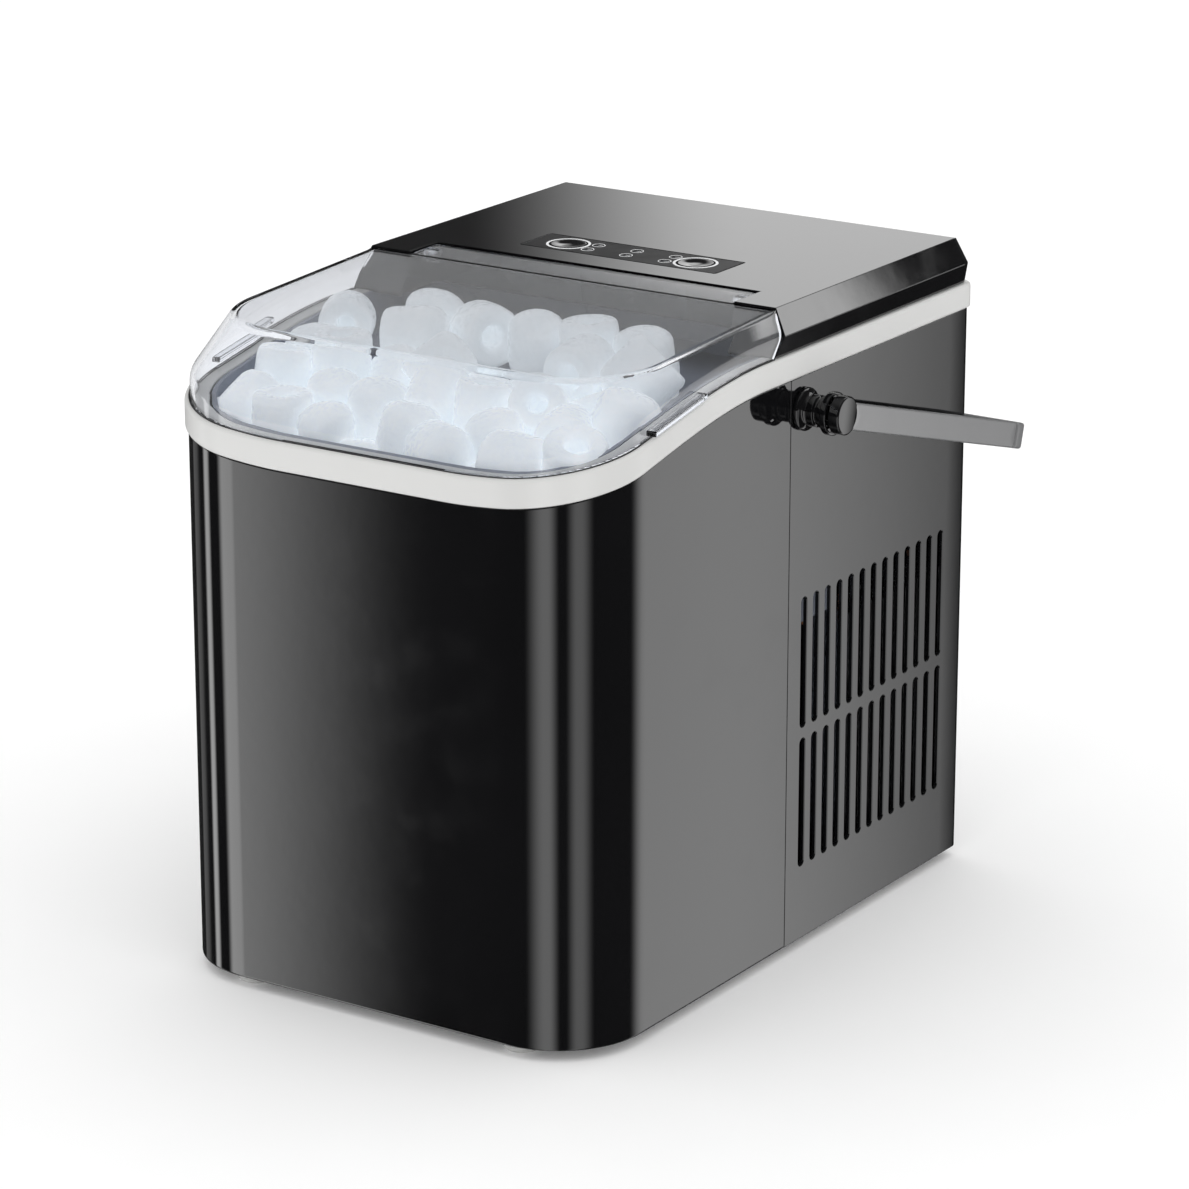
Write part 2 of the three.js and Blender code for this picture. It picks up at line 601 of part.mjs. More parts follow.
// ---------------------------------------------------------------- tub, insulation, basket
const tubOutline = (wall) => outline({
  halfWidth: linerHalf - wall,
  yFront: linerFront + wall,
  yBack: TUB_REAR - wall,
  frontRadius: Math.max(FRONT_CORNER - TRIM_LEDGE - wall, 1),
  rearRadius: 4 - wall,
});

function innerLiner() {
  const w = LINER_WALL;
  const rim = (x, y) => rimTop(x, y) - 0.4;
  const outer = throughLoops([at(tubOutline(0), LINER_BOTTOM), at(tubOutline(0), rim)]);
  const inner = throughLoops([at(tubOutline(w), linerFloor), at(tubOutline(w), trimTop + 20)]);
  const bay = block(-linerHalf, linerHalf, TUB_REAR - 10, bayRear, bayFloor - w, trimTop - 0.4);
  const bayHollow = block(-linerHalf + w, linerHalf - w, TUB_REAR - 12, bayRear - w, bayFloor, trimTop + 20);
  const railZ = basketFloor - GAP;
  const rails = [-1, 1].map((s) => block(Math.min(s * (linerHalf - 1), s * (linerHalf - 1 - RAIL_WIDTH)),
    Math.max(s * (linerHalf - 1), s * (linerHalf - 1 - RAIL_WIDTH)), linerFront + FRONT_CORNER, basketRear,
    railZ - RAIL_HEIGHT, railZ));
  const spout = bar(PLUG_STEM + 2.2, 6, 'x', [-linerHalf - 4.5, PLUG_Y, PLUG_Z]);
  const body = joined([cut(joined([outer, bay]), inner, bayHollow), ...rails, spout]);
  return cut(body, bar(PLUG_STEM + GAP, 14, 'x', [-linerHalf - 8, PLUG_Y, PLUG_Z]), ...linerPorts());
}

/** Holes through the liner's rear walls for the pipes and the pump. */
function linerPorts() {
  const behind = (radius, x, z) => bar(radius, 12, 'y', [x, bayRear - 8, z], 16);
  return [behind(SPOUT_RADIUS + GAP, SPOUT_X, spoutZ), behind(SUCTION + PORT_CLEAR, SUCTION_X, plateZ),
    behind(CAPILLARY + PORT_CLEAR, CAPILLARY_X, plateZ),
    bar(PUMP_SPOUT + GAP, 12, 'y', [PUMP_X, TUB_REAR - 8, PUMP_SPOUT_Z], 16)];
}

function insulation() {
  const from = WALL + 2 * GAP;
  const upper = (x, y) => rimTop(x, y) - TRIM_FLANGE - 1;
  const low = panTop + 2 + GAP;
  const ring = bodyRing([[from + WALL, low], [from + WALL, FOOT_HEIGHT + PAN_RIM + GAP], [from,
      FOOT_HEIGHT + PAN_RIM + GAP],
    [from, upper], [from + INSULATION, upper], [from + INSULATION, low]]);
  return cut(ring, block(-200, 200, TUB_REAR - 3, 400, -10, 500), bar(PLUG_STEM + 3, 20, 'x', [-half - 2,
      PLUG_Y, PLUG_Z]));
}

const basketOutline = (inset) => outline({
  halfWidth: linerHalf - LINER_WALL - BASKET_CLEARANCE - inset,
  yFront: linerFront + LINER_WALL + BASKET_CLEARANCE + inset,
  yBack: basketRear - inset,
  sideSteps: 1,
  frontRadius: Math.max(FRONT_CORNER - TRIM_LEDGE - LINER_WALL - BASKET_CLEARANCE - inset, 1),
  rearRadius: Math.max(12 - inset, 1),
});

function iceBasket() {
  const w = BASKET_WALL;
  const outer = throughLoops([at(basketOutline(BASKET_TAPER), basketFloor), at(basketOutline(0.8),
      basketTop - 6),
    at(basketOutline(0.8), basketTop - 4), at(basketOutline(0), basketTop - 4), at(basketOutline(0),
        basketTop)]);
  const inner = throughLoops([at(basketOutline(BASKET_TAPER + w), basketFloor + w),
      at(basketOutline(w + 0.8), basketTop - 6),
    at(basketOutline(w + 0.8), basketTop + 5)]);
  const sill = block(MODULE_LEFT + 2, MODULE_RIGHT + 2, basketRear - 14, basketRear + 5,
      basketTop - BASKET_SILL, basketTop + 5);
  const slots = [];
  for (let i = -3; i <= 3; i += 1) {
    slots.push(block(i * 22 - 2.5, i * 22 + 2.5, -100 - DRAIN_SLOT / 2, -100 + DRAIN_SLOT / 2,
        basketFloor - 5, basketFloor + 5));
  }
  return cut(outer, inner, sill, ...slots);
}

// ---------------------------------------------------------------- ice module
const plateZ = moduleTop - 7.5; // middle of the evaporator's plate
const spoutZ = trayAxisZ + 10;
const trayLeft = MODULE_LEFT + CHEEK + 2 * ARM_CLEAR + ARM;
const trayRight = MODULE_RIGHT - CHEEK - 2 * ARM_CLEAR - ARM;
const shovelAxisZ = trayAxisZ + SHOVEL_AXIS_RISE;

/** Frame that carries the evaporator, the tray and the shovel: a roof with a cheek at each end. */
function moduleFrame() {
  const y0 = shovelAxisY - 5;
  const y1 = TRAY_AXIS_Y + 8;
  const roof = block(MODULE_LEFT, MODULE_RIGHT, y0, y1, moduleTop - 3.5, moduleTop);
  const cheek = (x) => block(x, x + CHEEK, y0, y1, trayAxisZ - 7, moduleTop);
  const bore = (radius, y, z) => bar(radius + RUNNING, MODULE_RIGHT - MODULE_LEFT + 20, 'x',
      [MODULE_LEFT - 10, y, z], 20);
  return cut(joined([roof, cheek(MODULE_LEFT), cheek(MODULE_RIGHT - CHEEK)]),
    bore(TRAY_PIN, TRAY_AXIS_Y, trayAxisZ), bore(SHOVEL_PIN, shovelAxisY, shovelAxisZ));
}

/** Cold plate with two rows of round-ended fingers that the ice grows on. */
function evaporator() {
  const low = plateZ - 2.5;
  const middle = (trayLeft + trayRight) / 2;
  const reach = low - (trayAxisZ - FINGER_REACH);
  const fingers = [];
  for (const [y, count] of [[fingerFrontY, FINGER_COUNT], [fingerRearY, FINGER_COUNT - 1]]) {
    for (let i = 0; i < count; i += 1) {
      const x = middle + (i - (count - 1) / 2) * FINGER_PITCH;
      const r = FINGER_RADIUS;
      fingers.push(turned([[0, -reach], [r * 0.6, -reach + 0.6], [r, -reach + 3], [r, 1], [0, 1]], 'z', [x,
          y, low], 10));
    }
  }
  const body = block(trayLeft + 4, trayRight - 4, fingerFrontY - 6, fingerRearY + 6, low, plateZ + 3.5);
  return joined([body, ...fingers]);
}

/** Trough under the fingers, hung from its rear upper edge on two trunnions. */
function waterTray() {
  const y0 = TRAY_AXIS_Y - TRAY_DEPTH;
  const y1 = TRAY_AXIS_Y + TRAY_WALL;
  const z0 = trayAxisZ + TRAY_LIP - TRAY_HEIGHT;
  const z1 = trayAxisZ + TRAY_LIP;
  const w = TRAY_WALL;
  const trough = cut(block(trayLeft, trayRight, y0, y1, z0, z1),
    block(trayLeft + w, trayRight - w, y0 + w, y1 - w, z0 + w, z1 + 5));
  const earSize = TRAY_PIN + 2;
  const ears = [trayLeft, trayRight - w].map((x) => bar(earSize, w, 'x', [x, TRAY_AXIS_Y, trayAxisZ], 20));
  const left = bar(TRAY_PIN, trayLeft - MODULE_LEFT + 0.5, 'x', [MODULE_LEFT - 0.5, TRAY_AXIS_Y, trayAxisZ],
      20);
  const right = bar(TRAY_PIN, MODULE_RIGHT - trayRight + 6, 'x', [trayRight, TRAY_AXIS_Y, trayAxisZ], 20);
  return joined([trough, ...ears, left, right]);
}

/** Blade in front of the tray on two arms, which pushes the ice over the basket's sill. */
function iceShovel() {
  const x0 = trayLeft - ARM_CLEAR - ARM;
  const x1 = trayRight + ARM_CLEAR + ARM;
  const low = shovelAxisZ - SHOVEL_AXIS_RISE - SHOVEL_BLADE;
  const y0 = shovelAxisY - 6;
  const blade = block(x0, x1, y0, y0 + 2, low, low + SHOVEL_BLADE - 2);
  const armShape = [[y0, low], [y0 + 3, low], [shovelAxisY + 4, shovelAxisZ + 2], [shovelAxisY + 2,
      shovelAxisZ + 4.5],
    [shovelAxisY - 3, shovelAxisZ + 4.5], [y0, shovelAxisZ]];
  const arms = [x0, x1 - ARM].map((x) => prismX(armShape, x, x + ARM));
  const pins = [bar(SHOVEL_PIN, ARM_CLEAR + CHEEK + 1, 'x', [x0 - ARM_CLEAR - CHEEK, shovelAxisY,
      shovelAxisZ], 16),
    bar(SHOVEL_PIN, ARM_CLEAR + CHEEK + 1, 'x', [x1 - 1, shovelAxisY, shovelAxisZ], 16)];
  return joined([blade, ...arms, ...pins]);
}

/** Geared motor on the right cheek, with a socket for the tray's shaft. */
function trayMotor() {
  const x = MODULE_RIGHT + GAP;
  const body = block(x, x + 30, TRAY_AXIS_Y - 18, TRAY_AXIS_Y + 14, trayAxisZ - 12, trayAxisZ + 24);
  return cut(body, bar(TRAY_PIN + RUNNING, 8, 'x', [x - 1, TRAY_AXIS_Y, trayAxisZ], 20));
}

/** Cover over the module, with a front skirt that hides the frame. */
function moduleHood() {
  const side = linerHalf - LINER_WALL - 2 * GAP;
  const y0 = hoodFront;
  const rear = bayRear - LINER_WALL - 2 * GAP;
  const z = moduleTop + GAP;
  const section = [[y0, z - 22], [y0 + 2, z - 22], [y0 + 2, z], [rear, z], [rear, z + 2.4], [y0 + 3,
      z + 2.4], [y0, z - 0.6]];
  return prismX(section, -side, side);
}

function iceSensor(side) {
  const x = linerHalf - LINER_WALL - GAP;
  const depth = 6;
  return block(side > 0 ? x - depth : -x, side > 0 ? x : -x + depth, basketRear + 2 + GAP, basketRear + 13,
    trayAxisZ + 2, trayAxisZ + 16);
}

// ---------------------------------------------------------------- carry handle
const armInner = half + HANDLE_SIDE_GAP;
const restAngle = (HANDLE_REST * Math.PI) / 180;
const gripInner = (back + TRIM_OVERHANG + HANDLE_BACK_GAP - PIVOT_Y
    + (HANDLE_WIDTH / 2) * Math.sin(restAngle))
  / Math.cos(restAngle);

/** Turns a body drawn along +Y from the pivot down to the handle's rest angle. */
const atRest = (body) => body.rotate([-HANDLE_REST, 0, 0]).translate([0, PIVOT_Y, pivotZ]);

function handleArm(side) {
  const x0 = side > 0 ? armInner : -armInner - HANDLE_ARM;
  const w = HANDLE_WIDTH / 2;
  const end = gripInner - GAP;
  const strap = prismX([[4, -w - 0.6], [end, -w], [end, w], [4, w + 0.6]], x0, x0 + HANDLE_ARM);
  const eye = bar(BOSS_FLANGE - 1, HANDLE_ARM + 4, 'x', [side > 0 ? armInner - 4 : -armInner - HANDLE_ARM,
      0, 0], 20);
  const collar = bar(BOSS_FLANGE, 3, 'x', [side > 0 ? armInner - 4 : -armInner + 1, 0, 0], 20);
  const bore = bar(AXLE_RADIUS + RUNNING, HANDLE_ARM + 3, 'x', [side > 0 ? armInner - 5 : -armInner
      - HANDLE_ARM + 2, 0, 0], 16);
  return atRest(cut(joined([strap, eye, collar]), bore));
}

function handleGrip() {
  const w = HANDLE_WIDTH / 2;
  const reach = armInner + HANDLE_ARM;
  const outer = gripInner + GRIP_THICKNESS;
  return atRest(prismX([[gripInner, -w], [outer - 2, -w], [outer, -w + 2], [outer, w - 2], [outer - 2, w],
      [gripInner, w]],
    -reach, reach));
}

/** Fixed boss between the casing and the arm: flange, grooved neck, and a spigot in the wall. */
function handleBoss(side) {
  const wall = half - WALL - GAP;
  const face = half + GAP;
  const end = armInner - 4 - GAP;
  const neck = BOSS_NECK;
  const bore = AXLE_RADIUS + GAP;
  const profile = [[bore, wall], [bore + 1.7, wall], [bore + 1.7, face], [BOSS_FLANGE, face], [BOSS_FLANGE,
      face + 2],
    [BOSS_FLANGE - 1, face + 3], [neck, face + 3.4], [neck, end - 4.4], [neck - 1, end - 4], [neck - 1,
        end - 3],
    [neck, end - 2.6], [neck, end], [bore, end], [bore, wall]];
  const body = turned(profile, 'x', [0, PIVOT_Y, pivotZ], 14);
  return side > 0 ? body : body.mirror([1, 0, 0]);
}

function handleAxle(side) {
  const from = half - WALL - 6;
  const end = armInner + HANDLE_ARM - 3.4;
  const body = turned([[0, from], [6, from], [6, half - WALL - 2 * GAP], [AXLE_RADIUS, half - WALL - 2 * GAP],
    [AXLE_RADIUS, end], [0, end]], 'x', [0, PIVOT_Y, pivotZ], 20);
  return side > 0 ? body : body.mirror([1, 0, 0]);
}

// ---------------------------------------------------------------- cooling circuit
const compressorY = machineRear - COMPRESSOR_RADIUS;
const bracketZ = panTop + GROMMET_HEIGHT + 2 * GAP;
const compressorZ = bracketZ + BRACKET + GAP;
const condenserY0 = machineRear - CONDENSER_LENGTH;
const compressorTop = compressorZ + COMPRESSOR_HEIGHT;
const fanX = CONDENSER_X - 24;
const fanY = machineRear - CONDENSER_LENGTH / 2;
const fanZ = (CONDENSER_BOTTOM + condenserTop) / 2;
const bracketFeet = [[-34, -30], [34, -30], [0, 34]];

function compressor() {
  const r = COMPRESSOR_RADIUS;
  const h = COMPRESSOR_HEIGHT;
  return turned([[0, 0], [r * 0.7, 0], [r * 0.95, 8], [r * 0.95, h * 0.42], [r, h * 0.44], [r, h * 0.5],
      [r * 0.95, h * 0.52],
    [r * 0.95, h - 18], [r * 0.8, h - 6], [r * 0.45, h], [0, h]], 'z', [COMPRESSOR_X, compressorY,
        compressorZ], 20);
}

function compressorBracket() {
  const shape = new THREE.Shape();
  shape.absarc(-34, -30, 10, Math.PI, 1.5 * Math.PI);
  shape.absarc(34, -30, 10, 1.5 * Math.PI, 2.2 * Math.PI);
  shape.absarc(0, 34, 10, 0.2 * Math.PI, 0.8 * Math.PI);
  shape.closePath();
  return plate(shape, 0, BRACKET).translate([COMPRESSOR_X, compressorY, bracketZ]);
}

function grommet([x, y]) {
  const r = GROMMET_RADIUS;
  const h = GROMMET_HEIGHT;
  return turned([[0, 0], [r, 0], [r, h * 0.3], [r - 1.5, h * 0.45], [r, h * 0.6], [r, h], [0, h]], 'z',
    [COMPRESSOR_X + x, compressorY + y, panTop + GAP], 12);
}

function terminalCover() {
  const x = COMPRESSOR_X + COMPRESSOR_RADIUS + 2 * GAP;
  return block(x, x + 14, compressorY - 14, compressorY + 14, compressorZ + 50, compressorZ + 86);
}

/** Condenser fins on a spine, as one comb carried upwards. */
function condenserFins() {
  const pitch = (CONDENSER_LENGTH - FIN) / (FIN_COUNT - 1);
  const points = [[CONDENSER_X, condenserY0]];
  for (let i = 0; i < FIN_COUNT; i += 1) {
    const y = condenserY0 + i * pitch;
    if (i > 0) points.push([CONDENSER_X + 2, y]);
    points.push([CONDENSER_X + CONDENSER_THICK, y]);
    points.push([CONDENSER_X + CONDENSER_THICK, y + FIN]);
    if (i < FIN_COUNT - 1) points.push([CONDENSER_X + 2, y + FIN]);
  }
  points.push([CONDENSER_X, condenserY0 + CONDENSER_LENGTH]);
  return plate(new THREE.Shape(points.map(([x, y]) => new THREE.Vector2(x, y))), CONDENSER_BOTTOM,
      condenserTop);
}

/** Copper coil that runs back and forth on the fins' spine. */
function condenserCoil() {
  const x = CONDENSER_X - 3.6;
  const rows = 5;
  const pitch = (condenserTop - CONDENSER_BOTTOM - 16) / (rows - 1);
  const y0 = condenserY0 + 12;
  const y1 = condenserY0 + CONDENSER_LENGTH - 12;
  const points = [];
  for (let i = 0; i < rows; i += 1) {
    const z = condenserTop - 8 - i * pitch;
    const [from, to] = i % 2 ? [y1, y0] : [y0, y1];
    points.push([x, from, z], [x, (from + to) / 2, z], [x, to, z]);
  }
  return pipe(points, 3, 50);
}

function fanShroud() {
  const x = CONDENSER_X - 9.5;
  const plateBody = block(x, x + 2, condenserY0, condenserY0 + CONDENSER_LENGTH, CONDENSER_BOTTOM,
      condenserTop);
  const hole = bar(FAN_RADIUS + 3, 20, 'x', [x - 10, fanY, fanZ], 40);
  const bridge = block(fanX - 5, fanX - 2, condenserY0, condenserY0 + CONDENSER_LENGTH, fanZ - 6, fanZ + 6);
  const posts = [condenserY0, condenserY0 + CONDENSER_LENGTH - 4].map((y) => block(fanX - 5, x + 1, y,
      y + 4 - 0.01, fanZ - 6, fanZ + 6));
  return cut(joined([cut(plateBody, hole), bridge, ...posts]), bar(2 + RUNNING, 20, 'x', [fanX - 12, fanY,
      fanZ], 16));
}

/** Five blades on a hub, with the shaft that runs back into the motor. */
function fanBlade() {
  const hub = bar(FAN_HUB, 9, 'x', [fanX, fanY, fanZ], 24);
  const shaft = bar(2, 12, 'x', [fanX - 11, fanY, fanZ], 16);
  const blades = [];
  for (let i = 0; i < FAN_BLADES; i += 1) {
    const blade = solid(new THREE.BoxGeometry(1.6, FAN_RADIUS - FAN_HUB + 2, 20, 1, 1, 1)
      .rotateY(0.55).translate(0, (FAN_RADIUS + FAN_HUB) / 2 - 1.6, 0));
    blades.push(blade.rotate([(360 * i) / FAN_BLADES, 0, 0]).translate([fanX + 5, fanY, fanZ]));
  }
  return joined([hub, shaft, ...blades]);
}

function fanMotor() {
  const x = fanX - 5 - GAP;
  const body = bar(15, 24, 'x', [x - 24, fanY, fanZ], 28);
  return cut(body, bar(2 + RUNNING, 8, 'x', [x - 7, fanY, fanZ], 16));
}

function filterDrier() {
  return turned([[0, 0], [3, 0], [8.5, 10], [8.5, 62], [3, 72], [0, 72]], 'z', [12, machineRear - 10, 50],
      20);
}

function solenoidValve() {
  const y = bayRear + GAP;
  const x = -8;
  const z = bayFloor + 12;
  return joined([block(x, x + 26, y, y + 20, z, z + 20), bar(6, 34, 'z', [x + 13, y + 10, z - 7], 16)]);
}

function suctionPipe() {
  const behind = bayRear + 14;
  return pipe([[SUCTION_X, fingerRearY + 6 + GAP, plateZ], [SUCTION_X, 30, plateZ], [SUCTION_X, bayRear,
      plateZ],
    [SUCTION_X, behind, plateZ - 8], [SUCTION_X - 4, behind + 6, plateZ - 50], [6, behind + 18,
        compressorTop + 44],
    [-14, behind + 30, compressorTop + 30], [-32, compressorY, compressorTop + 16],
    [-38, compressorY, compressorTop + 8], [-38, compressorY, compressorTop + 2 * GAP]], SUCTION, 30);
}

function capillaryTube() {
  return pipe([[CAPILLARY_X, fingerRearY + 6 + GAP, plateZ], [CAPILLARY_X, bayRear, plateZ],
    [CAPILLARY_X, bayRear + 30, plateZ - 20], [14, machineRear - 30, plateZ - 70], [12, machineRear - 10,
        150],
    [12, machineRear - 10, 50 + 72 + GAP]], CAPILLARY, 26, 4);
}

function dischargePipe() {
  const z = compressorTop;
  const coilX = CONDENSER_X - 3.6;
  return pipe([[-62, compressorY + 18, z + 2 * GAP], [-62, compressorY + 18, z + 10], [-40,
      compressorY + 16, z + 18],
    [0, compressorY, z + 20], [30, fanY - 4, condenserTop + 14], [coilX - 12, condenserY0 + 10,
        condenserTop + 10],
    [coilX, condenserY0 - 2, condenserTop + 2], [coilX, condenserY0 - 2, condenserTop - 6],
    [coilX, condenserY0 + 5, condenserTop - 8], [coilX, condenserY0 + 12 - GAP, condenserTop - 8]], 2.6, 30);
}

// ---------------------------------------------------------------- water circuit
const pumpTop = panTop + GAP + 42;
const hoseY = bayRear + 8;

function waterPump() {
  const z = panTop + GAP;
  const y0 = TUB_REAR + 8;
  const body = joined([block(PUMP_X - 15, PUMP_X + 15, y0, y0 + 32, z, z + 30), bar(12, 12, 'z', [PUMP_X,
      y0 + 16, z + 24], 20),
    bar(3, 10, 'z', [PUMP_X, y0 + 16, pumpTop - 8], 16)]);
  return joined([body, bar(PUMP_SPOUT, 9, 'y', [PUMP_X, TUB_REAR - 0.5, PUMP_SPOUT_Z], 16)]);
}

function pumpHose() {
  const y0 = TUB_REAR + 24;
  return pipe([[PUMP_X, y0, pumpTop + 2 + 2 * GAP], [PUMP_X, y0, pumpTop + 10], [PUMP_X, y0 + 8,
      pumpTop + 26], [PUMP_X + 4, hoseY + 2, pumpTop + 50],
    [PUMP_X + 8, hoseY + 2, bayFloor], [SPOUT_X - 12, hoseY + 4, spoutZ - 24], [SPOUT_X - 2, hoseY + 3,
        spoutZ - 5],
    [SPOUT_X, hoseY - 2.5, spoutZ]], 3.4, 28);
}

/** Spout through the liner's rear wall, over the tray's edge. */
function fillSpout() {
  return bar(SPOUT_RADIUS, hoseY - 5.5 - TRAY_AXIS_Y + 4.5, 'y', [SPOUT_X, TRAY_AXIS_Y - 4.5, spoutZ], 16);
}

function drainPlug() {
  const face = half + GAP;
  const r = PLUG_STEM + 6;
  const profile = [[0, linerHalf - 2], [PLUG_STEM - 1, linerHalf - 2], [PLUG_STEM, linerHalf - 1],
      [PLUG_STEM, face], [r, face],
    [r, face + 2.4], [r - 1.2, face + 3.4], [0, face + 3.4]];
  const cap = turned(profile, 'x', [0, PLUG_Y, PLUG_Z], 18).mirror([1, 0, 0]);
  const grip = block(-face - 8, -face - 3, PLUG_Y - 1.6, PLUG_Y + 1.6, PLUG_Z - 8, PLUG_Z + 8);
  return joined([cap, grip]);
}

function drainSeal() {
  const from = linerHalf + 4.5 + GAP;
  const to = half - WALL;
  const ring = [[PLUG_STEM + GAP, from], [PLUG_STEM + 2.2, from], [PLUG_STEM + 2.2, to], [PLUG_STEM + GAP,
      to], [PLUG_STEM + GAP, from]];
  return turned(ring, 'x', [0, PLUG_Y, PLUG_Z], 14).mirror([1, 0, 0]);
}

// ---------------------------------------------------------------- electrics
function controlBoard() {
  const z = top - PANEL_THICKNESS - 14;
  const board = block(-PANEL_WIDTH / 2 + 2, PANEL_WIDTH / 2 - 2, PANEL_FRONT - 2,
      PANEL_FRONT + PANEL_DEPTH + 2, z, z + 1.6);
  const switches = [-1, 1].map((s) => block((s * BUTTON_SPACING) / 2 - 3, (s * BUTTON_SPACING) / 2 + 3,
      buttonY - 3, buttonY + 3,
    z + 1, top - PANEL_THICKNESS - GAP - 4 - BUTTON_TRAVEL - 0.4));
  return joined([board, ...switches]);
}

function powerBoard() {
  const z = bayFloor + 40;
  const y0 = bayRear + 18;
  const board = block(-100, -30, y0, machineRear, z, z + 1.6);
  const parts = [block(-94, -66, y0 + 6, y0 + 30, z + 1, z + 24), block(-60, -40, y0 + 8, y0 + 22, z + 1,
      z + 16),
    bar(8, 20, 'z', [-50, y0 + 40, z + 1], 16)];
  return joined([board, ...parts]);
}

/** Appliance socket in the back wall, with a flange outside and an open cavity. */
function powerInlet() {
  const flange = block(INLET_X - 17, INLET_X + 17, back + GAP, back + GAP + 2, INLET_Z - 14, INLET_Z + 14);
  const body = block(INLET_X - 13, INLET_X + 13, back - 20, back + GAP + 1, INLET_Z - 10, INLET_Z + 10);
  const cavity = block(INLET_X - 11, INLET_X + 11, back - 16, back + 10, INLET_Z - 8, INLET_Z + 8);
  return cut(joined([flange, body]), cavity);
}

// ---------------------------------------------------------------- assembly
add('base_pan', basePan(), 'satin_black');
for (const place of feet) add(place.name, foot(place), 'rubber');
add('front_shell', frontShell(), 'gloss_black');
add('rear_housing', rearHousing(), 'gloss_black');
add('trim_ring', trimRing(), 'light_grey');
add('top_cover', topCover(), 'gloss_black');
add('control_panel', controlPanel(), 'satin_black');
add('indicator_lens', indicatorLens(), 'white_plastic');
add('power_button', button(-1), 'gloss_black');
add('select_button', button(1), 'gloss_black');
add('lid', lid(), 'clear');
add('lid_pin_left', lidPin(-1), 'steel');
add('lid_pin_right', lidPin(1), 'steel');
add('inner_liner', innerLiner(), 'liner_grey');
add('insulation', insulation(), 'foam');
add('ice_basket', iceBasket(), 'liner_grey');
add('module_frame', moduleFrame(), 'white_plastic');
add('evaporator', evaporator(), 'steel');
add('water_tray', waterTray(), 'white_plastic');
add('ice_shovel', iceShovel(), 'white_plastic');
add('tray_motor', trayMotor(), 'satin_black');
add('module_hood', moduleHood(), 'liner_grey');
for (const [side, across] of [[-1, 'left'], [1, 'right']]) {
  add(`ice_sensor_${across}`, iceSensor(side), 'satin_black');
  add(`handle_arm_${across}`, handleArm(side), 'smoke_grey');
  add(`handle_boss_${across}`, handleBoss(side), 'gloss_black');
  add(`handle_axle_${across}`, handleAxle(side), 'steel');
}
add('handle_grip', handleGrip(), 'smoke_grey');
add('compressor', compressor(), 'black_paint');
add('compressor_bracket', compressorBracket(), 'steel');
bracketFeet.forEach((place, i) => add(`compressor_grommet_${i + 1}`, grommet(place), 'rubber'));
add('terminal_cover', terminalCover(), 'satin_black');
add('condenser_fins', condenserFins(), 'aluminium');
add('condenser_coil', condenserCoil(), 'copper');
add('fan_shroud', fanShroud(), 'satin_black');
add('fan_blade', fanBlade(), 'satin_black');
add('fan_motor', fanMotor(), 'steel');
add('filter_drier', filterDrier(), 'copper');
add('solenoid_valve', solenoidValve(), 'black_paint');
add('suction_pipe', suctionPipe(), 'copper');
add('capillary_tube', capillaryTube(), 'copper');
add('discharge_pipe', dischargePipe(), 'copper');
add('water_pump', waterPump(), 'satin_black');
add('pump_hose', pumpHose(), 'white_plastic');
add('fill_spout', fillSpout(), 'white_plastic');
add('drain_plug', drainPlug(), 'satin_black');
add('drain_seal', drainSeal(), 'rubber');
add('control_board', controlBoard(), 'board_green');
add('power_board', powerBoard(), 'board_green');
add('power_inlet', powerInlet(), 'satin_black');

// The origin is under the middle of the whole object, handle included.
const bounds = new THREE.Box3().setFromObject(model);
const centre = bounds.getCenter(new THREE.Vector3());
model.position.set(-centre.x, -centre.y, 0);
model.updateMatrixWorld(true);

export default model;
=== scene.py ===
"""Countertop bullet-ice maker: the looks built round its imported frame.

Lengths in the shape functions are millimetres in the casing's own frame: X across, Y from front to
back with 0 half-way, Z up from the worktop. settle() turns them into the frame's metres.
"""
import math

import bmesh
import bpy
import numpy as np
from bpy.props import FloatProperty, FloatVectorProperty, IntProperty, PointerProperty
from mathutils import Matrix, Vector


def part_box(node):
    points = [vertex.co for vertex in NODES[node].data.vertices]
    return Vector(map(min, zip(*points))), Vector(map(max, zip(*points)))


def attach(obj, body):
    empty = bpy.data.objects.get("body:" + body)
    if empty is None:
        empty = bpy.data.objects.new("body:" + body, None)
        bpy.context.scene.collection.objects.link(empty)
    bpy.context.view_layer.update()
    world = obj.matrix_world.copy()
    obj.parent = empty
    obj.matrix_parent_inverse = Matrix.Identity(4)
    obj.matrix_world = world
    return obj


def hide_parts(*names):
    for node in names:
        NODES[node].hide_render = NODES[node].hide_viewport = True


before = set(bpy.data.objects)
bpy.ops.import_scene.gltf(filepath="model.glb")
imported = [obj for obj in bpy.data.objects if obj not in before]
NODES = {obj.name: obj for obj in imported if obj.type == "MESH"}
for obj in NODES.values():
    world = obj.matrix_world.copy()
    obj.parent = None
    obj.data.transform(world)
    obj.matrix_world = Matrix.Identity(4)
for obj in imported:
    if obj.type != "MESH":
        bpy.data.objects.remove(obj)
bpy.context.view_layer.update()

bl_info = {
    "name": "Countertop ice maker",
    "version": (1, 0, 0),
    "blender": (4, 5, 0),
    "location": "View3D > Sidebar > Ice maker",
    "description": "Builds the casing, lid, controls, handle and ice round the packed frame",
    "category": "Object",
}

MM = 1000.0

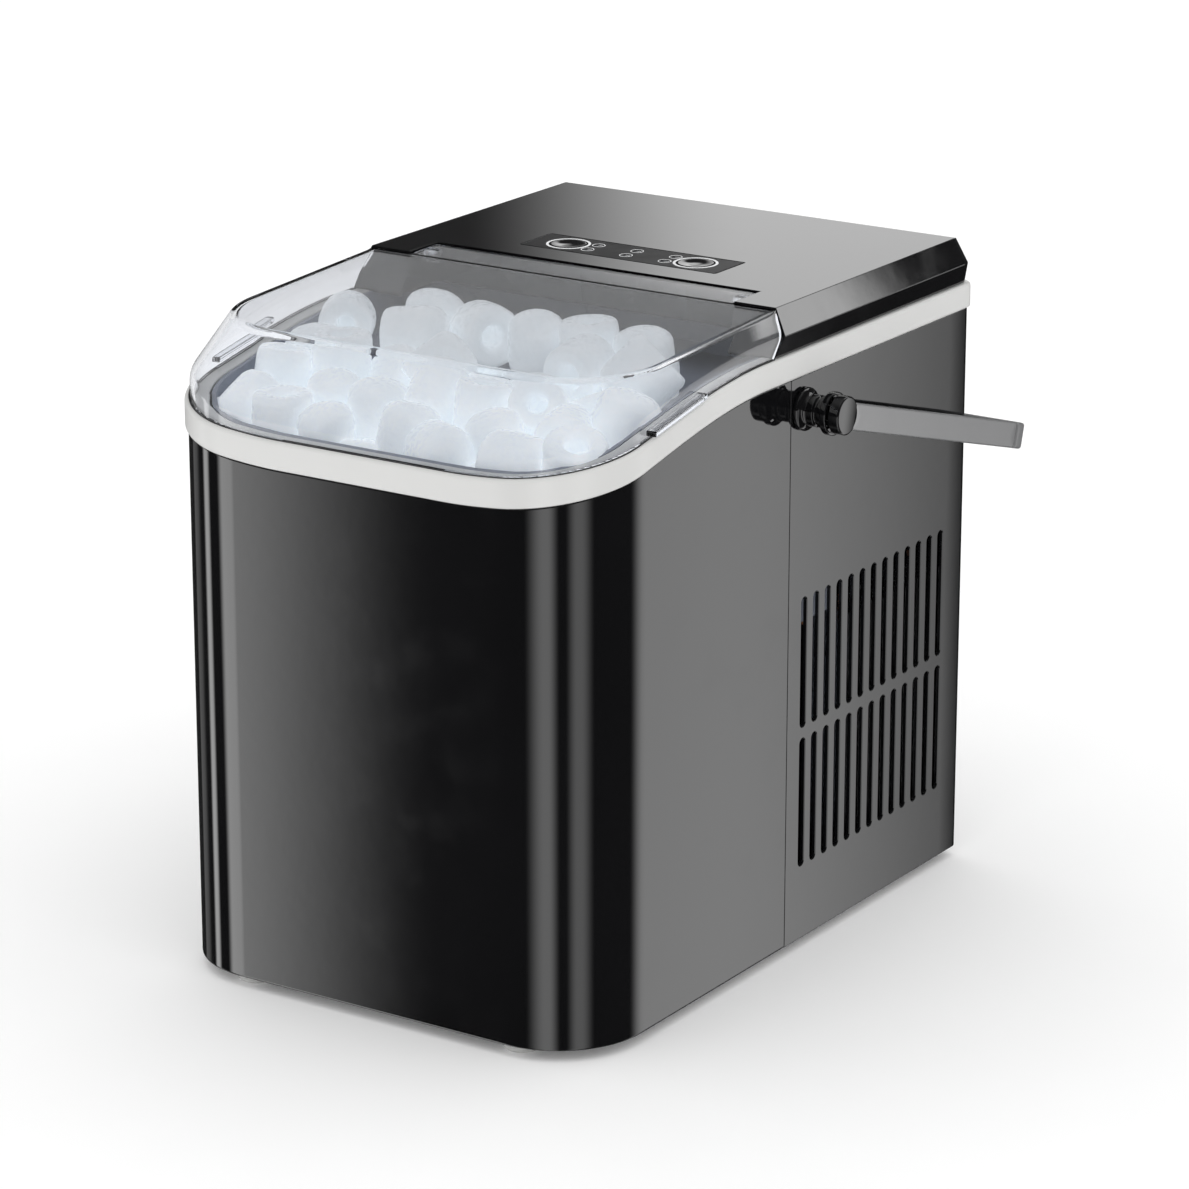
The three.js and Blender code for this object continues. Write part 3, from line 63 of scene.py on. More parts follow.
# ---------------------------------------------------------------- measures
# Boxes of the frame's own nodes, and what follows from them
SHELL = [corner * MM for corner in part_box("front_shell")]
HOUSING = [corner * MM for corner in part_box("rear_housing")]
COVER = [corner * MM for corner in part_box("top_cover")]
TRIM = [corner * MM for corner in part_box("trim_ring")]
STRIP = [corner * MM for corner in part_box("control_panel")]
MIDDLE = (SHELL[0].y + HOUSING[1].y) / 2
HALF = SHELL[1].x
DEEP = (HOUSING[1].y - SHELL[0].y) / 2
BASE = SHELL[0].z
TOP = COVER[1].z
TRIM_TOP = TRIM[1].z
HOUSING_TOP = HOUSING[1].z
STRIP_Y = (STRIP[0].y + STRIP[1].y) / 2 - MIDDLE

# Casing, trim and cover
CORNER = 41.5
REAR_CORNER = 6.0
WALL = 2.2
SEAM = 0.15
TRIM_HEIGHT = 11.4
TRIM_EXTRA = 1.2
TRIM_DROP = 25.0
DROP_START = -20.0
DROP_LENGTH = 190.0
TRIM_OUT = 1.4
TRIM_LEDGE = 9.5
TRIM_FLANGE = 2.5
BEVEL = 5.8
BEVEL_HEIGHT = 11.3
COVER_LEAN = 1.0
NOTCH = 84.5
NOTCH_REAR = 17.9

# Keys and lamps
KEY_X = 33.5
KEY_R = 8.2
LAMP_R = 2.3
LAMP_X = 20.3
LAMP_Y = 4.6

# Lid, and the dark strip under its rim that paints the shadow of the gap
LID_FRONT = -132.0
LID_CORNER = 38.0
LID_INSET = 1.0
LID_WALL = 2.2
LID_BAND = 9.2
LID_GAP = 0.4
SHADOW_STRIP_IN = 0.3
SHADOW_STRIP_OUT = 3.4
LID_REAR = -3.9
HINGE_REAR = 15.3
TAB_SLOPE = 0.03

# Handle: its pivot, its angle at rest, and its arms and grip
PIVOT_Y = 10.5
PIVOT_Z = 249.0
REST = math.radians(16.1)
ARM_OUT = 17.0
ARM_THICK = 5.0
ARM_HALF = 6.0
GRIP_GAP = 2.8
GRIP_WIDE = 8.0
BOSS_R = 9.5

# Vents, counted back from the seam, and the power inlet
VENT_FIRST = 13.6
VENT_PITCH = 10.0
VENT_COUNT = 13
VENT_HALF = 2.4
VENT_LONG = 59.5
VENT_ROWS = (39.5, 104.2)
REAR_VENTS = 9
REAR_VENT_X = -54.0
INLET_X = 36.0
INLET_Z = 37.0

# Where the ice lies
BASKET_HALF = 96.0
BASKET_FRONT = -143.0
BASKET_REAR = -76.0
HOOD_FRONT = -60.0
HOOD_TOP = 258.3

# Corners closer than this are one
MERGE = 2e-3


# ---------------------------------------------------------------- surfaces
def softened(corners, reach, closed=False, steps=4):
    """Rows of stations, each row swapped for the parabola with that row as its control point, which
    leaves and joins the straight runs to its neighbours `reach` away, or 0.45 of the run if less."""
    corners = np.asarray(corners, float)
    back = np.roll(corners, 1, 0) - corners
    ahead = np.roll(corners, -1, 0) - corners
    long_back = np.linalg.norm(back, axis=-1, keepdims=True)
    long_ahead = np.linalg.norm(ahead, axis=-1, keepdims=True)
    cut = np.minimum(np.reshape(reach, (-1, 1, 1)), 0.45 * np.minimum(long_back, long_ahead))
    if not closed:
        cut[[0, -1]] = 0
    first = corners + back / np.maximum(long_back, 1e-9) * cut
    last = corners + ahead / np.maximum(long_ahead, 1e-9) * cut
    t = np.linspace(0, 1, steps + 1)[:, None, None, None]
    curve = (1 - t) ** 2 * first + 2 * t * (1 - t) * corners + t ** 2 * last
    return curve.transpose(1, 0, 2, 3).reshape(-1, *corners.shape[1:])


def straight(a, b, count):
    """Points (1 - t) a + t b, without the last."""
    t = np.linspace(0, 1, count + 1)[:-1, None]
    return (1 - t) * np.array(a, float) + t * np.array(b, float)


def bend(cx, cy, r, start, end, count):
    """Points centre + r (cos a, sin a) with a from start to end degrees, without the last."""
    a = np.radians(np.linspace(start, end, count + 1)[:-1])
    return np.stack([cx + r * np.cos(a), cy + r * np.sin(a)], -1)


def front_path(inset, end, half=HALF, front=-DEEP, corner=CORNER):
    """Casing outline moved in by `inset`: right side from y = end, the round front, left side back."""
    h, f, r = half - inset, front + inset, max(corner - inset, 0.5)
    return np.concatenate([
        straight((h, end), (h, f + r), 40), bend(h - r, f + r, r, 0, -90, 20),
        straight((h - r, f), (-h + r, f), 44), bend(-h + r, f + r, r, -90, -180, 20),
        straight((-h, f + r), (-h, end), 40), [[-h, end]]])


def rear_path(inset, start):
    """The rest of that outline: left side from y = start, the tight rear corners, right side."""
    h, b, r = HALF - inset, DEEP - inset, max(REAR_CORNER - inset, 0.5)
    return np.concatenate([
        straight((-h, start), (-h, b - r), 24), bend(-h + r, b - r, r, 180, 90, 8),
        straight((-h + r, b), (h - r, b), 16), bend(h - r, b - r, r, 90, 0, 8),
        straight((h, b - r), (h, start), 24), [[h, start]]])


def whole_path(inset):
    """The outline all the way round."""
    return np.concatenate([front_path(inset, 0), rear_path(inset, 0)[1:]])


def raised(path, z):
    """A plan path given its height, a number or a function of x and y."""
    height = z(path[:, 0], path[:, 1]) if callable(z) else np.full(len(path), float(z))
    return np.column_stack([path, height])


def drop_share(x, y):
    """0 at the back to 1 at the middle of the front: 3t² - 2t³ of the run along the outline."""
    side = DROP_START - y
    corner_x, corner_y = HALF - CORNER, -DEEP + CORNER
    turn = np.arctan2(np.maximum(corner_y - y, 0), np.maximum(np.abs(x) - corner_x, 0) + 1e-9)
    past = DROP_START - corner_y + CORNER * turn + np.maximum(corner_x - np.abs(x), 0)
    t = np.clip(np.where(y < corner_y, past, side) / DROP_LENGTH, 0, 1)
    return t * t * (3 - 2 * t)


def rim_top(x, y):
    """Height of the trim's top."""
    return TRIM_TOP - TRIM_DROP * drop_share(x, y)


def rim_bottom(x, y):
    """Height of the trim's lower edge: the band is a little taller at the front."""
    return rim_top(x, y) - TRIM_HEIGHT - TRIM_EXTRA * drop_share(x, y)


def closed_ring(levels, reach, steps=4):
    """A section of corner rows carried round: the softened rows with the first again at the end."""
    rows = softened(levels, reach, closed=True, steps=steps)
    return np.concatenate([rows, rows[:1]])


def end_caps(ring):
    """Flat ends of an open ring: each point of the section's first half joined to its opposite."""
    half = (len(ring) - 1) // 2
    return [np.stack([ring[:half, k], ring[:-1][::-1][:half, k]]) for k in (0, -1)]


def between(outer, inner, around=False):
    """Closed shell: two skins, and strips that join their edges."""
    strips = [np.stack([outer[0], inner[0]]), np.stack([outer[-1], inner[-1]])]
    if not around:
        strips += [np.stack([outer[:, 0], inner[:, 0]]), np.stack([outer[:, -1], inner[:, -1]])]
    return [outer, inner] + strips


def turned(profile, reach, place, axis="z", sides=48, steps=3, flip=1):
    """Lathe: a softened profile of (radius, height) turned about an axis through `place`."""
    curve = softened(np.array(profile, float)[:, None, :], reach, steps=steps)[:, 0]
    a = np.linspace(0, 2 * math.pi, sides + 1)
    r, h = curve[:, :1], curve[:, 1:] * flip
    x, y, z = r * np.cos(a), r * np.sin(a), h + 0 * a
    order = {"x": (z, x, y), "y": (x, z, y), "z": (x, y, z)}[axis]
    return np.stack(order, -1) + np.array(place, float)


def rounded_loop(a0, a1, b0, b1, r, steps=5):
    """Plan points round a rectangle with corner radius r, closed."""
    loop = np.concatenate([
        bend(a1 - r, b1 - r, r, 90, 0, steps), bend(a1 - r, b0 + r, r, 0, -90, steps),
        bend(a0 + r, b0 + r, r, -90, -180, steps), bend(a0 + r, b1 - r, r, 180, 90, steps)])
    return np.concatenate([loop, loop[:1]])


def slab(low, high, corner, edge, axis="z"):
    """Block with rounded corners and edges: a plan loop at two heights, shut by rows on its mid-line."""
    k = "xyz".index(axis)
    a, b = [i for i in range(3) if i != k]
    loop = rounded_loop(low[a], high[a], low[b], high[b], corner)
    line = loop.copy()
    short = 0 if high[a] - low[a] < high[b] - low[b] else 1
    span = (high[a] - low[a], high[b] - low[b])[1 - short]
    centre = np.array([(low[a] + high[a]) / 2, (low[b] + high[b]) / 2])
    thick = (high[a] - low[a], high[b] - low[b])[short]
    line[:, short] = centre[short]
    line[:, 1 - short] = centre[1 - short] + np.clip(loop[:, 1 - short] - centre[1 - short],
                                                     -(span - thick) / 2, (span - thick) / 2)
    rows = []
    for plan, height in ((line, low[k]), (loop, low[k]), (loop, high[k]), (line, high[k])):
        row = np.empty((len(loop), 3))
        row[:, a], row[:, b], row[:, k] = plan[:, 0], plan[:, 1], height
        rows.append(row)
    return softened(rows, [0, edge, edge, 0], steps=4)


def cell_ring(u, v, hole):
    """Stations round a grid cell, and the nearest points to them on the rounded hole inside it."""
    u0, u1, v0, v1, cu, cv, hu, hv, r = hole
    i0, i1 = np.searchsorted(u, [u0 - 1e-3, u1 - 1e-3])
    j0, j1 = np.searchsorted(v, [v0 - 1e-3, v1 - 1e-3])
    across, up = i1 - i0, j1 - j0
    a = np.concatenate([u[i0:i1], np.full(up, u[i1]), u[i0 + 1:i1 + 1][::-1], np.full(up, u[i0]),
                        u[i0:i0 + 1]])
    b = np.concatenate([np.full(across, v[j0]), v[j0:j1], np.full(across, v[j1]),
                        v[j0 + 1:j1 + 1][::-1], v[j0:j0 + 1]])
    core_a = cu + np.clip(a - cu, r - hu, hu - r)
    core_b = cv + np.clip(b - cv, r - hv, hv - r)
    away = np.hypot(a - core_a, b - core_b)
    unit_a, unit_b = (a - core_a) / away, (b - core_b) / away

    def edge(grow):
        return core_a + unit_a * (r + grow), core_b + unit_b * (r + grow)
    return (slice(j0, j1), slice(i0, i1)), (a, b), edge


def stations(*groups):
    """Grid lines in order, each once."""
    return np.unique(np.round(np.concatenate([np.atleast_1d(g) for g in groups]), 3))


def pierced(u, v, holes, place, wall, lip=0.35, around=False):
    """A wall over a grid of stations, less the cells that hold a hole, and in each of those a ring
    from the cell's edge over the hole's lip, through the wall and back to the cell's edge behind."""
    uu, vv = np.meshgrid(u, v)
    keep = np.ones((len(v) - 1, len(u) - 1), bool)
    patches = []
    for hole in holes:
        block, rim, edge = cell_ring(u, v, hole)
        keep[block] = False
        rows = [(*rim, 0), (*edge(lip), 0), (*edge(0), lip), (*edge(0), wall - lip), (*edge(lip), wall),
                (*rim, wall)]
        patches.append(np.stack([place(a, b, depth) for a, b, depth in rows]))
    outer, inner = place(uu, vv, 0.0), place(uu, vv, wall)
    shell = between(outer, inner, around)
    return [(shell[0], keep), (shell[1], keep)] + shell[2:] + patches


# ---------------------------------------------------------------- meshes
def settle(points):
    """Casing millimetres to the frame's metres."""
    return (points + np.array([0, MIDDLE, 0])) / MM


def piece(name, patches, finish, body, replaces=(), bevel=0.0, shell=0.0, sharp=35.0, angle=40.0):
    """Joins grid patches into one mesh: equal corners merged, faces turned outwards, then fitted."""
    points, quads, start = [], [], 0
    for patch in patches:
        grid, keep = patch if isinstance(patch, tuple) else (patch, None)
        rows, columns = grid.shape[:2]
        index = np.arange(rows * columns).reshape(rows, columns) + start
        faces = np.stack([index[:-1, :-1], index[:-1, 1:], index[1:, 1:], index[1:, :-1]], -1)
        quads.append(faces[keep] if keep is not None else faces.reshape(-1, 4))
        points.append(grid.reshape(-1, 3))
        start += rows * columns
    points = np.concatenate(points)
    snapped = np.round(points / MERGE).astype(np.int64)
    _, first, same = np.unique(snapped, axis=0, return_index=True, return_inverse=True)
    points = settle(points[first])
    quads = same.reshape(-1)[np.concatenate(quads)]
    shared = quads == np.roll(quads, -1, 1)
    count = 4 - shared.sum(1)
    quads, shared, count = quads[count > 2], shared[count > 2], count[count > 2]
    _, single = np.unique(np.sort(quads, 1), axis=0, return_index=True)
    quads, shared, count = quads[single], shared[single], count[single]
    mesh = bpy.data.meshes.new(name)
    mesh.vertices.add(len(points))
    mesh.vertices.foreach_set("co", points.astype(np.float32).ravel())
    mesh.loops.add(int(count.sum()))
    mesh.loops.foreach_set("vertex_index", quads[~shared].astype(np.int32))
    mesh.polygons.add(len(count))
    starts = np.concatenate([[0], np.cumsum(count)[:-1]])
    mesh.polygons.foreach_set("loop_start", starts.astype(np.int32))
    mesh.update(calc_edges=True)
    mesh.validate()
    turn_outwards(mesh)
    mesh.polygons.foreach_set("use_smooth", np.ones(len(mesh.polygons), bool))
    mesh.set_sharp_from_angle(angle=math.radians(sharp))
    made = bpy.data.objects.new(name, mesh)
    bpy.context.scene.collection.objects.link(made)
    mesh.materials.append(finish)
    if bevel:
        cut = made.modifiers.new("edges", "BEVEL")
        cut.width, cut.segments, cut.limit_method = bevel / MM, 3, "ANGLE"
        cut.angle_limit, cut.harden_normals = math.radians(angle), True
        cut.use_clamp_overlap = True
    if shell:
        wall = made.modifiers.new("wall", "SOLIDIFY")
        wall.thickness, wall.offset, wall.use_even_offset = shell / MM, -1, True
    fair = made.modifiers.new("fair", "WEIGHTED_NORMAL")
    fair.keep_sharp, fair.weight = True, 90
    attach(made, body)
    if replaces:
        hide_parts(*replaces)
    return made


def turn_outwards(mesh):
    """Winds all faces one way, then flips them if the cones to the foot of the mesh sum below zero."""
    work = bmesh.new()
    work.from_mesh(mesh)
    bmesh.ops.recalc_face_normals(work, faces=work.faces)
    bmesh.ops.triangulate(scratch := work.copy(), faces=scratch.faces)
    foot = min(v.co.z for v in scratch.verts)
    corners = np.array([[v.co for v in f.verts] for f in scratch.faces]) - np.array([0, 0, foot])
    if np.einsum("ij,ij->i", np.cross(corners[:, 0], corners[:, 1]), corners[:, 2]).sum() < 0:
        bmesh.ops.reverse_faces(work, faces=work.faces)
    scratch.free()
    work.to_mesh(mesh)
    work.free()


# ---------------------------------------------------------------- finishes
class Value:
    """A socket that Python's operators work on: each adds a Math node."""

    def __init__(self, maker, socket):
        self.maker, self.socket = maker, socket

    def maths(self, operation, a, b=0.0):
        return self.maker.value("ShaderNodeMath", {"operation": operation}, {0: a, 1: b})

    def __add__(self, other):
        return self.maths("ADD", self, other)

    def __sub__(self, other):
        return self.maths("SUBTRACT", self, other)

    def __rsub__(self, other):
        return self.maths("SUBTRACT", other, self)

    def __mul__(self, other):
        return self.maths("MULTIPLY", self, other)

    __radd__ = __add__
    __rmul__ = __mul__


class Nodes:
    """Adds nodes to one emptied tree."""

    def __init__(self, tree):
        self.tree = tree
        tree.nodes.clear()

    def node(self, kind, settings=None, inputs=None):
        made = self.tree.nodes.new(kind)
        for key, value in (settings or {}).items():
            setattr(made, key, value)
        for key, value in (inputs or {}).items():
            source = value.socket if isinstance(value, Value) else value
            if isinstance(source, bpy.types.NodeSocket):
                self.tree.links.new(source, made.inputs[key])
            else:
                made.inputs[key].default_value = source
        return made

    def value(self, kind, settings=None, inputs=None):
        return Value(self, self.node(kind, settings, inputs).outputs[0])

    def blend(self, share, a, b):
        """A colour from a at 0 to b at 1."""
        mixed = self.node("ShaderNodeMix", {"data_type": "RGBA"}, {0: share, 6: a, 7: b})
        return mixed.outputs[2]

    def ease(self, value, start, end):
        """Smooth step of a value, from 0 at one stop to 1 at the other."""
        return self.value("ShaderNodeMapRange", {"interpolation_type": "SMOOTHSTEP"},
                          {0: value, 1: start, 2: end, 3: 0.0, 4: 1.0})

    def grain(self, scale, detail=2.0, stretch=(1, 1, 1)):
        """Noise over the piece's own metres, `scale` to the metre."""
        place = self.node("ShaderNodeTexCoord").outputs["Object"]
        turned_place = self.node("ShaderNodeMapping", None, {"Vector": place, "Scale": stretch})
        return self.value("ShaderNodeTexNoise", None,
                          {"Vector": turned_place.outputs[0], "Scale": scale, "Detail": detail,
                           "Roughness": 0.5})


def rgba(colour, factor=1.0):
    """A colour with its alpha, scaled but kept at or under 1."""
    return (*[min(c * factor, 1.0) for c in colour], 1.0)


def moulding(name, colour, rough, grain=900.0, depth=0.00001, smudge=0.06, shade=0.06, metal=0.0,
             stretch=(1, 1, 1), **sockets):
    """Moulded, painted or rolled surface: slow colour drift, handling marks in the roughness, and a
    fine grain as bump."""
    material = bpy.data.materials.new(name)
    material.use_nodes = True
    build = Nodes(material.node_tree)
    drift = build.ease(build.grain(9.0, 3.0), 0.35, 0.65)
    base = build.blend(drift, rgba(colour, 1 - shade), rgba(colour, 1 + shade))
    marks = build.ease(build.grain(38.0, 5.0), 0.45, 0.75)
    fine = build.grain(grain, 3.0, stretch)
    bump = build.node("ShaderNodeBump", None, {"Strength": 1.0, "Distance": depth, "Height": fine})
    inputs = {"Base Color": base, "Roughness": marks * smudge + (rough + fine * 0.02 - 0.01),
              "Metallic": metal, "Normal": bump.outputs[0]}
    inputs.update(sockets)
    shader = build.node("ShaderNodeBsdfPrincipled", None, inputs)
    build.node("ShaderNodeOutputMaterial", None, {"Surface": shader.outputs[0]})
    return material


def lid_plastic(name, tint):
    """Clear moulded lid: full transmission with faint flow marks."""
    material = bpy.data.materials.new(name)
    material.use_nodes = True
    build = Nodes(material.node_tree)
    flow = build.grain(16.0, 2.0, (1, 0.4, 1))
    bump = build.node("ShaderNodeBump", None, {"Strength": 1.0, "Distance": 0.00002, "Height": flow})
    base = build.blend(build.ease(flow, 0.3, 0.7), rgba(tint, 0.985), rgba(tint, 1.01))
    shader = build.node("ShaderNodeBsdfPrincipled", None,
                        {"Base Color": base, "Roughness": 0.0, "IOR": 1.46, "Transmission Weight": 1.0,
                         "Normal": bump.outputs[0]})
    build.node("ShaderNodeOutputMaterial", None, {"Surface": shader.outputs[0]})
    return material


def ice_finish(name, colour):
    """Cloudy ice: milky core, clearer patches, a wet uneven skin, and a painted glow from its emission that
    lifts it brighter than its lighting makes it.
    """
    material = bpy.data.materials.new(name)
    material.use_nodes = True
    build = Nodes(material.node_tree)
    cloud = build.ease(build.grain(70.0, 4.0), 0.35, 0.7)
    base = build.blend(cloud, rgba(colour), rgba((0.85, 0.865, 0.875)))
    pits = build.grain(420.0, 4.0)
    bump = build.node("ShaderNodeBump", None,
                      {"Strength": 0.6, "Distance": 0.0004, "Height": pits + cloud * 1.5})
    shader = build.node("ShaderNodeBsdfPrincipled", None,
                        {"Base Color": base, "Roughness": 0.2 + build.ease(pits, 0.3, 0.8) * 0.3,
                         "Subsurface Weight": 0.12, "Subsurface Scale": 0.012,
                         "Subsurface Radius": (0.8, 0.95, 1.0), "IOR": 1.31,
                         # Emission is a painted glow: the ice shines a little of its own, standing in for
                         # light it would catch.
                         "Emission Color": (0.9, 0.96, 1.0, 1.0), "Emission Strength": 0.24,
                         "Normal": bump.outputs[0]})
    build.node("ShaderNodeOutputMaterial", None, {"Surface": shader.outputs[0]})
    return material


FINISHES = {
    "gloss_black": ((0.0045, 0.0045, 0.005), 0.035,
                    dict(grain=160.0, depth=0.0000022, smudge=0.03, shade=0.1)),
    "satin_black": ((0.012, 0.012, 0.013), 0.40, dict(grain=1100.0, depth=0.00006, smudge=0.1)),
    "rubber": ((0.52, 0.52, 0.51), 0.62, dict(grain=700.0, depth=0.00006, smudge=0.12)),
    "light_grey": ((0.64, 0.64, 0.63), 0.34,
                   dict(grain=1500.0, depth=0.00001, smudge=0.08, shade=0.012)),
    "white_plastic": ((0.80, 0.81, 0.82), 0.36, dict(grain=1200.0, depth=0.00002, shade=0.02)),
    "steel": ((0.56, 0.57, 0.58), 0.26, dict(grain=900.0, stretch=(1, 1, 0.04), metal=1.0, depth=0.00003)),
    "liner_grey": ((0.205, 0.228, 0.285), 0.36, dict(grain=800.0, depth=0.00003, shade=0.04)),
    "foam": ((0.78, 0.78, 0.74), 0.85, dict(grain=320.0, depth=0.0004, smudge=0.05)),
    "smoke_grey": ((0.19, 0.191, 0.194), 0.13,
                   dict(grain=500.0, depth=0.00001, smudge=0.05, shade=0.03)),
    "black_paint": ((0.01, 0.01, 0.011), 0.34, dict(grain=380.0, depth=0.00007, smudge=0.15)),
    "aluminium": ((0.62, 0.63, 0.64), 0.3,
                  dict(grain=900.0, stretch=(1, 1, 0.03), metal=1.0, depth=0.00002)),
    "copper": ((0.62, 0.29, 0.16), 0.28,
               dict(grain=260.0, metal=1.0, depth=0.00004, smudge=0.2, shade=0.14)),
    "board_green": ((0.02, 0.11, 0.05), 0.38,
                    dict(grain=1500.0, stretch=(1, 0.1, 1), depth=0.00004, shade=0.15)),
    "strip_black": ((0.012, 0.012, 0.013), 0.34,
                    {"grain": 1800.0, "depth": 0.00001, "smudge": 0.05, "Specular IOR Level": 0.12}),
    "print_white": ((0.86, 0.87, 0.88), 0.45, dict(grain=1600.0, depth=0.00001, shade=0.03)),
    "lamp_dark": ((0.03, 0.032, 0.036), 0.1, dict(grain=300.0, depth=0.00001)),
}


def finish(name):
    """The named finish, made on first use."""
    known = bpy.data.materials.get("ice_maker_" + name)
    if known:
        return known
    colours = bpy.context.scene.ice_maker_colours
    if name == "clear":
        return lid_plastic("ice_maker_clear", colours.lid)
    if name == "ice":
        return ice_finish("ice_maker_ice", colours.ice)
    colour, rough, extra = FINISHES[name]
    own = {"gloss_black": colours.body, "light_grey": colours.trim, "smoke_grey": colours.handle}
    return moulding("ice_maker_" + name, tuple(own.get(name, colour)), rough, **extra)


# ---------------------------------------------------------------- what a user would change
class IceMakerSizes(bpy.types.PropertyGroup):
    """Sizes of the pieces that have no frame node, or more detail than it."""
    ice_radius: FloatProperty(name="Ice radius", description="Outer radius of one piece of ice",
                              default=0.0132, unit="LENGTH", subtype="DISTANCE")
    ice_count: IntProperty(name="Ice count", description="How many pieces of ice are in the heap", default=82)
    ice_seed: IntProperty(name="Ice seed", description="Arrangement of the ice", default=11)
    ring_width: FloatProperty(name="Ring width", description="Width of the printed ring round a key",
                              default=0.0012, unit="LENGTH", subtype="DISTANCE")


class IceMakerColours(bpy.types.PropertyGroup):
    """Colours a user would change."""
    body: FloatVectorProperty(name="Body", description="Gloss casing", subtype="COLOR", size=3,
                              default=(0.0045, 0.0045, 0.005))
    trim: FloatVectorProperty(name="Trim", description="Band round the casing", subtype="COLOR", size=3,
                              default=(0.64, 0.64, 0.63))
    handle: FloatVectorProperty(name="Handle", description="Carry handle", subtype="COLOR", size=3,
                                default=(0.19, 0.191, 0.194))
    lid: FloatVectorProperty(name="Lid", description="Tint of the clear lid", subtype="COLOR", size=3,
                             default=(0.952, 0.965, 0.992))
    ice: FloatVectorProperty(name="Ice", description="Clearer parts of the ice", subtype="COLOR", size=3,
                             default=(0.78, 0.81, 0.83))


class IceMakerStage(bpy.types.PropertyGroup):
    """Camera and studio."""
    lens: FloatProperty(name="Lens", description="Focal length on a 36 mm sensor", default=141.3,
                        subtype="DISTANCE_CAMERA")
    turn: FloatProperty(name="Turn", description="Camera's angle round from the front, to the right",
                        default=math.radians(33.315), subtype="ANGLE")
    rise: FloatProperty(name="Rise", description="Camera's angle above level", default=math.radians(17.491),
                        subtype="ANGLE")
    distance: FloatProperty(name="Distance", description="Camera to the point it looks at", default=2.0874,
                            unit="LENGTH", subtype="DISTANCE")
    room_light: FloatProperty(name="Room light", description="Brightness of the white room", default=1.06)


# ---------------------------------------------------------------- casing
class ICEMAKER_OT_front_shell(bpy.types.Operator):
    """Gloss front shell: the casing outline carried from the base to just under the trim"""
    bl_idname = "icemaker.front_shell"
    bl_label = "Front shell"
    bl_options = {"REGISTER", "UNDO"}

    def execute(self, context):
        def upper(x, y):
            """Just under the trim's lower edge."""
            return rim_bottom(x, y) - 0.3
        levels = [raised(front_path(inset, -SEAM), z)
                  for inset, z in ((0, BASE), (0, upper), (WALL, upper), (WALL, BASE))]
        ring = closed_ring(levels, [1.4, 0.6, 0.4, 0.4])
        piece("skin_front", [ring] + end_caps(ring), finish("gloss_black"), "casing",
              ["front_shell"], bevel=0.3, angle=60)
        return {"FINISHED"}


class ICEMAKER_OT_rear_housing(bpy.types.Operator):
    """Gloss rear housing with its rows of tall vents and the opening for the power inlet"""
    bl_idname = "icemaker.rear_housing"
    bl_label = "Rear housing"
    bl_options = {"REGISTER", "UNDO"}

    def execute(self, context):
        side = DEEP - REAR_CORNER - SEAM
        turn = REAR_CORNER * math.pi / 2
        across = 2 * (HALF - REAR_CORNER)
        total = 2 * side + 2 * turn + across

        def place(s, z, depth):
            """From the right seam: along the side, round the corner, across the back and home."""
            first = np.clip(s, 0, side)
            second = np.clip(s - side - turn, 0, across)
            third = np.clip(s - side - 2 * turn - across, 0, side)
            a = (np.clip(s - side, 0, turn) + np.clip(s - side - turn - across, 0, turn)) / REAR_CORNER
            r = REAR_CORNER - depth
            return np.stack([HALF - REAR_CORNER - second + r * np.cos(a),
                             SEAM + first - third + r * np.sin(a), z + 0 * s], -1)
        middle = side + turn + HALF - REAR_CORNER
        right = VENT_FIRST - SEAM + VENT_PITCH * np.arange(VENT_COUNT)
        rear = middle - REAR_VENT_X - VENT_PITCH * (np.arange(REAR_VENTS) - REAR_VENTS // 2)
        columns = [(s, VENT_ROWS) for s in right] + [(total - s, VENT_ROWS) for s in right]
        columns += [(s, VENT_ROWS[1:]) for s in rear]
        half_pitch, half_long = VENT_PITCH / 2, VENT_LONG / 2
        holes = [(s - half_pitch, s + half_pitch, z - 2.6, z + 62.1,
                  s, z + half_long, VENT_HALF, half_long, VENT_HALF)
                 for s, starts in columns for z in starts]
        plug = middle - INLET_X
        holes.append((plug - 20, plug + 20, INLET_Z - 20, INLET_Z + 20, plug, INLET_Z, 13.3, 10.3, 1))
        inside = np.array([-5, -3.4, -1.7, 0, 1.7, 3.4, 5])
        corner = turn * np.linspace(0, 1, 8)
        s = stations(*[c + inside for c, _ in columns], plug + np.array([-20, -13, -12, 12, 13, 20]),
                     0, side + corner, side + turn + across + corner, total)
        upward = np.array([-2.6, -1.2, 0.6, 2.4, 20, 40, 57.1, 58.9, 60.7, 62.1])
        z = stations(BASE, *[start + upward for start in VENT_ROWS],
                     INLET_Z + np.array([-20, -10, -9, 9, 10, 20]), 200, HOUSING_TOP)
        piece("skin_rear", pierced(s, z, holes, place, WALL), finish("gloss_black"), "casing",
              ["rear_housing"], bevel=0.4, angle=60)
        return {"FINISHED"}


